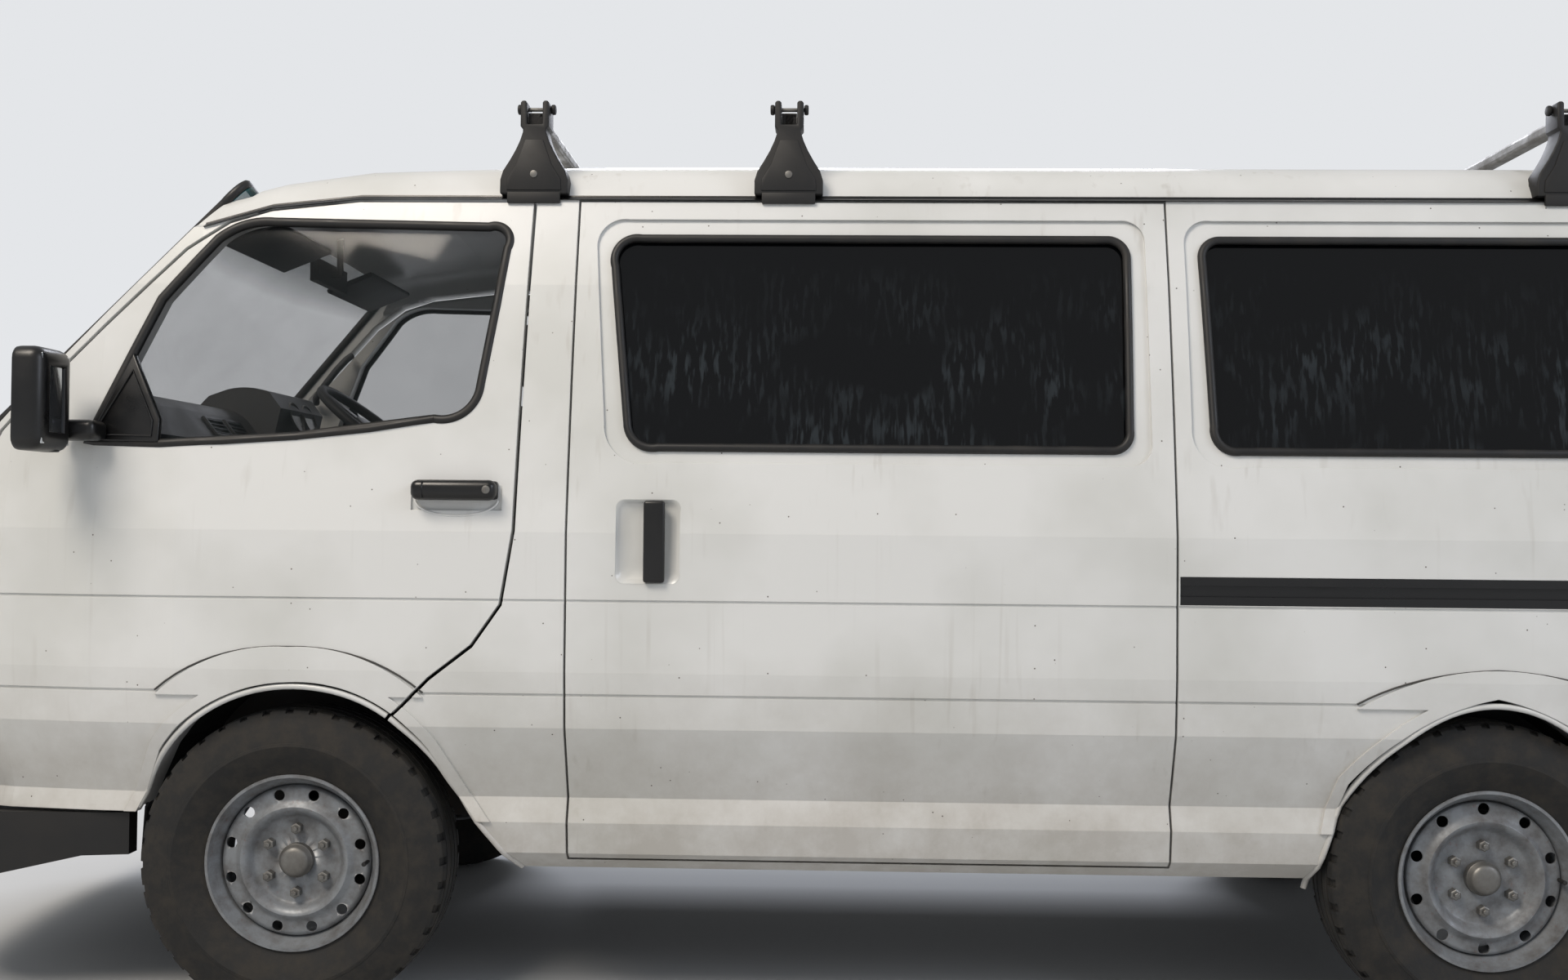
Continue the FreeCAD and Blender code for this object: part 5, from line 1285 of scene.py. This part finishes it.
noseLine = [(200, -1034), (620, -1030), (900, -992), (1172, -917), (1905, -217)]  # height, place
screenLook = {"crown": 118.0, "halfWidth": 777.5, "out": Vector((-0.7232, 0, 0.6906))}
wiperRuns = ((-610.0, 1196.0, 20.0, 1262.0), (40.0, 1190.0, 640.0, 1262.0))  # pivot and tip: across, height
bladeLook = (("arm", 20, 0.0058, (0.0, 0.12, 0.3, 0.6)), ("blade", 16, 0.0042,
        (0.28, 0.45, 0.6, 0.8, 0.99)), ("bridge", 19, 0.0032, (0.42, 0.5, 0.6, 0.7, 0.8)),
        ("rubber", 9, 0.0030, (0.26, 0.45, 0.6, 0.8, 1.0)))


def onScreen(y, height, out):
    crown = screenLook["crown"] * (y / screenLook["halfWidth"]) ** 2
    return spot(readTable(noseLine, height) + crown, y, height) + screenLook["out"] * out * mm


arms = []
rubbers = []
for y0, z0, y1, z1 in wiperRuns:
    arms.append(rodBetween(onScreen(y0, z0, 1), onScreen(y0, z0, 26), 0.013, 28, 0.003))
    for part, out, radius, shares in bladeLook:
        line = [onScreen(y0 + (y1 - y0) * t, z0 + (z1 - z0) * t, out) for t in shares]
        (rubbers if part == "rubber" else arms).append(tubeAlong(line, radius))
dress(joinAll(arms), "wiperArms", "body", glossy, ["wipers"])
dress(joinAll(rubbers), "wiperRubbers", "body", sealRubber)

tailLook = {"garnish": ((3590, -330, 1058), (3628, 330, 1118)),
            "lip": ((3604, -90, 1040), (3634, 90, 1064)), "plateLampsAt": (-190, 190), "plateLampHalf": 26}
garnish = blockAt(*tailLook["garnish"], 0.010, 4)
lip = blockAt(*tailLook["lip"], 0.007, 3)
dress(joinAll([garnish, lip]), "tailHandle", bodyOf["tailgate"], grained)
half = tailLook["plateLampHalf"]
plateLamps = [blockAt((3606, y - half, 1052), (3622, y + half, 1060), 0.002, 2)
              for y in tailLook["plateLampsAt"]]
dress(joinAll(plateLamps), "plateLamps", bodyOf["tailgate"], clearLens)

intake = {"half": 452.0, "low": 392.0, "high": 548.0, "back": -992.0, "bulge": 55.0, "bumperHalf": 545.0,
          "bars": (424.0, 456.0, 488.0, 520.0), "barAhead": 20, "barRadius": 0.0065, "sheet": 0.003}
across = [intake["half"] * (k / 8 - 1) for k in range(17)]
plan = [(intake["back"] + intake["bulge"] * (y / intake["bumperHalf"]) ** 2, y) for y in across]
rise = (0, 0, (intake["high"] - intake["low"]) * mm)
screen = sheetFrom([spot(b, y, intake["low"]) for b, y in plan], rise, intake["sheet"])
bars = [tubeAlong([spot(b - intake["barAhead"], y, z) for b, y in plan], intake["barRadius"])
        for z in intake["bars"]]
dress(joinAll([screen] + bars), "intakeScreen", "body", darkVinyl)
print("tail fittings done")


# Underside: bolt heads under the frame rails

# place, height
boltLook = {"rows": ((1425, 497.0), (2005, 497.0), (2885, 497.0), (-915, 377.0)), "across": (360, -360)}
heads = []
for y in boltLook["across"]:
    for back, low in boltLook["rows"]:
        head = turned(hexNut((0, 0, 0)), 90, "X")
        heads.append(turned(head, 0, "Z", spot(back, y, low)))
dress(joinAll(heads), "frameBolts", "body", zincSteel)
print("underside bolts done")


# Stage, light and camera

stageLook = {"floor": "#C3C5C7", "floorPale": "#C9CBCC", "backdrop": "#E4E6E9", "worldStrength": 0.62,
             "nearFloor": 4.5, "farFloor": 9.5}


def buildStage():
    clearSelection()
    bpy.ops.mesh.primitive_plane_add(size=60, location=(0, 0, 0))
    floor = bpy.context.object
    floor.name = "studioFloor"
    material, tree, shader, place = newMaterial("studioFloor")
    cloud = addNode(tree, "TexNoise", inputs={"Vector": place, "Scale": 1.1, "Detail": 3.0}).outputs["Fac"]
    base = addNode(tree, "Mix", colourMix, {0: cloud, 6: hexColour(stageLook["floor"]),
                                            7: hexColour(stageLook["floorPale"])}).outputs[2]
    tree.links.new(base, shader.inputs["Base Color"])
    shader.inputs["Roughness"].default_value = 0.9
    away = addNode(tree, "VectorMath", {"operation": "LENGTH"}, {0: place}).outputs["Value"]
    far = addNode(tree, "MapRange", {"interpolation_type": "SMOOTHSTEP"},
                  {"Value": away, "From Min": stageLook["nearFloor"],
                   "From Max": stageLook["farFloor"]}).outputs[0]
    rays = addNode(tree, "LightPath").outputs
    seen = addNode(tree, "Math", {"operation": "MAXIMUM"}, {0: rays["Is Camera Ray"],
                                                            1: rays["Is Glossy Ray"]}).outputs[0]
    seen = addNode(tree, "Math", {"operation": "MAXIMUM"}, {0: seen,
                                                            1: rays["Is Transmission Ray"]}).outputs[0]
    share = addNode(tree, "Math", {"operation": "MULTIPLY"}, {0: far, 1: seen}).outputs[0]
    glow = addNode(tree, "Emission", inputs={"Color": hexColour(stageLook["backdrop"]),
                                             "Strength": 1.0}).outputs[0]
    blend = addNode(tree, "MixShader", inputs={0: share, 1: shader.outputs[0], 2: glow}).outputs[0]
    tree.links.new(blend, tree.nodes["Material Output"].inputs["Surface"])
    floor.data.materials.append(material)
    world = bpy.data.worlds.new("softSky")
    bpy.context.scene.world = world
    world.use_nodes = True
    tree = world.node_tree
    for node in list(tree.nodes):
        tree.nodes.remove(node)
    seen = addNode(tree, "LightPath")
    sky = hexColour(stageLook["backdrop"])
    flat = addNode(tree, "Background", inputs={"Color": sky, "Strength": 1.0})
    soft = addNode(tree, "Background", inputs={"Color": sky, "Strength": stageLook["worldStrength"]})
    direct = addNode(tree, "Math", {"operation": "MAXIMUM"},
                     {0: seen.outputs["Is Camera Ray"], 1: seen.outputs["Is Transmission Ray"]}).outputs[0]
    blend = addNode(tree, "MixShader", inputs={0: direct, 1: soft.outputs[0], 2: flat.outputs[0]})
    addNode(tree, "OutputWorld", inputs={"Surface": blend.outputs[0]})


def addLamp(name, place, target, size, power, colour):
    data = bpy.data.lights.new(name, "AREA")
    data.shape = "RECTANGLE"
    data.size, data.size_y = size
    data.energy = power
    data.color = hexColour(colour)[:3]
    lamp = bpy.data.objects.new(name, data)
    bpy.context.scene.collection.objects.link(lamp)
    lamp.location = place
    lamp.rotation_euler = (Vector(target) - Vector(place)).to_track_quat("-Z", "Y").to_euler()


def buildLights():
    addLamp("keySoftbox", (-4.0, -5.5, 7.5), (-0.2, 0, 0.9), (3.5, 3.0), 560, "#FFF4E6")
    addLamp("fillSoftbox", (7.0, -4.5, 4.5), (0.3, 0, 0.9), (3.0, 3.0), 160, "#EAF1FF")
    addLamp("backSoftbox", (0.0, 7.0, 5.5), (0, 0, 1.0), (5.0, 3.0), 380, "#F2F5FF")


def buildCamera():
    # fitted to the wheel centres, the gutter, the body crease and the point where lines across the van meet
    view = {"place": (-0.1472, -4.1018, 1.0860), "yaw": 1.684, "pitch": 1.217, "roll": 0.511, "lens": 35.0}
    data = bpy.data.cameras.new("photoCamera")
    data.lens = view["lens"]
    data.sensor_width = 36.0
    data.sensor_fit = "HORIZONTAL"
    camera = bpy.data.objects.new("photoCamera", data)
    bpy.context.scene.collection.objects.link(camera)
    turn = Matrix.Rotation(math.radians(view["yaw"]), 4, "Z")
    turn = turn @ Matrix.Rotation(math.radians(90 + view["pitch"]), 4, "X")
    turn = turn @ Matrix.Rotation(math.radians(view["roll"]), 4, "Z")
    camera.matrix_world = Matrix.Translation(view["place"]) @ turn
    bpy.context.scene.camera = camera


buildStage()
buildLights()
buildCamera()
bpy.context.scene.view_settings.view_transform = "Standard"
print("stage ready")
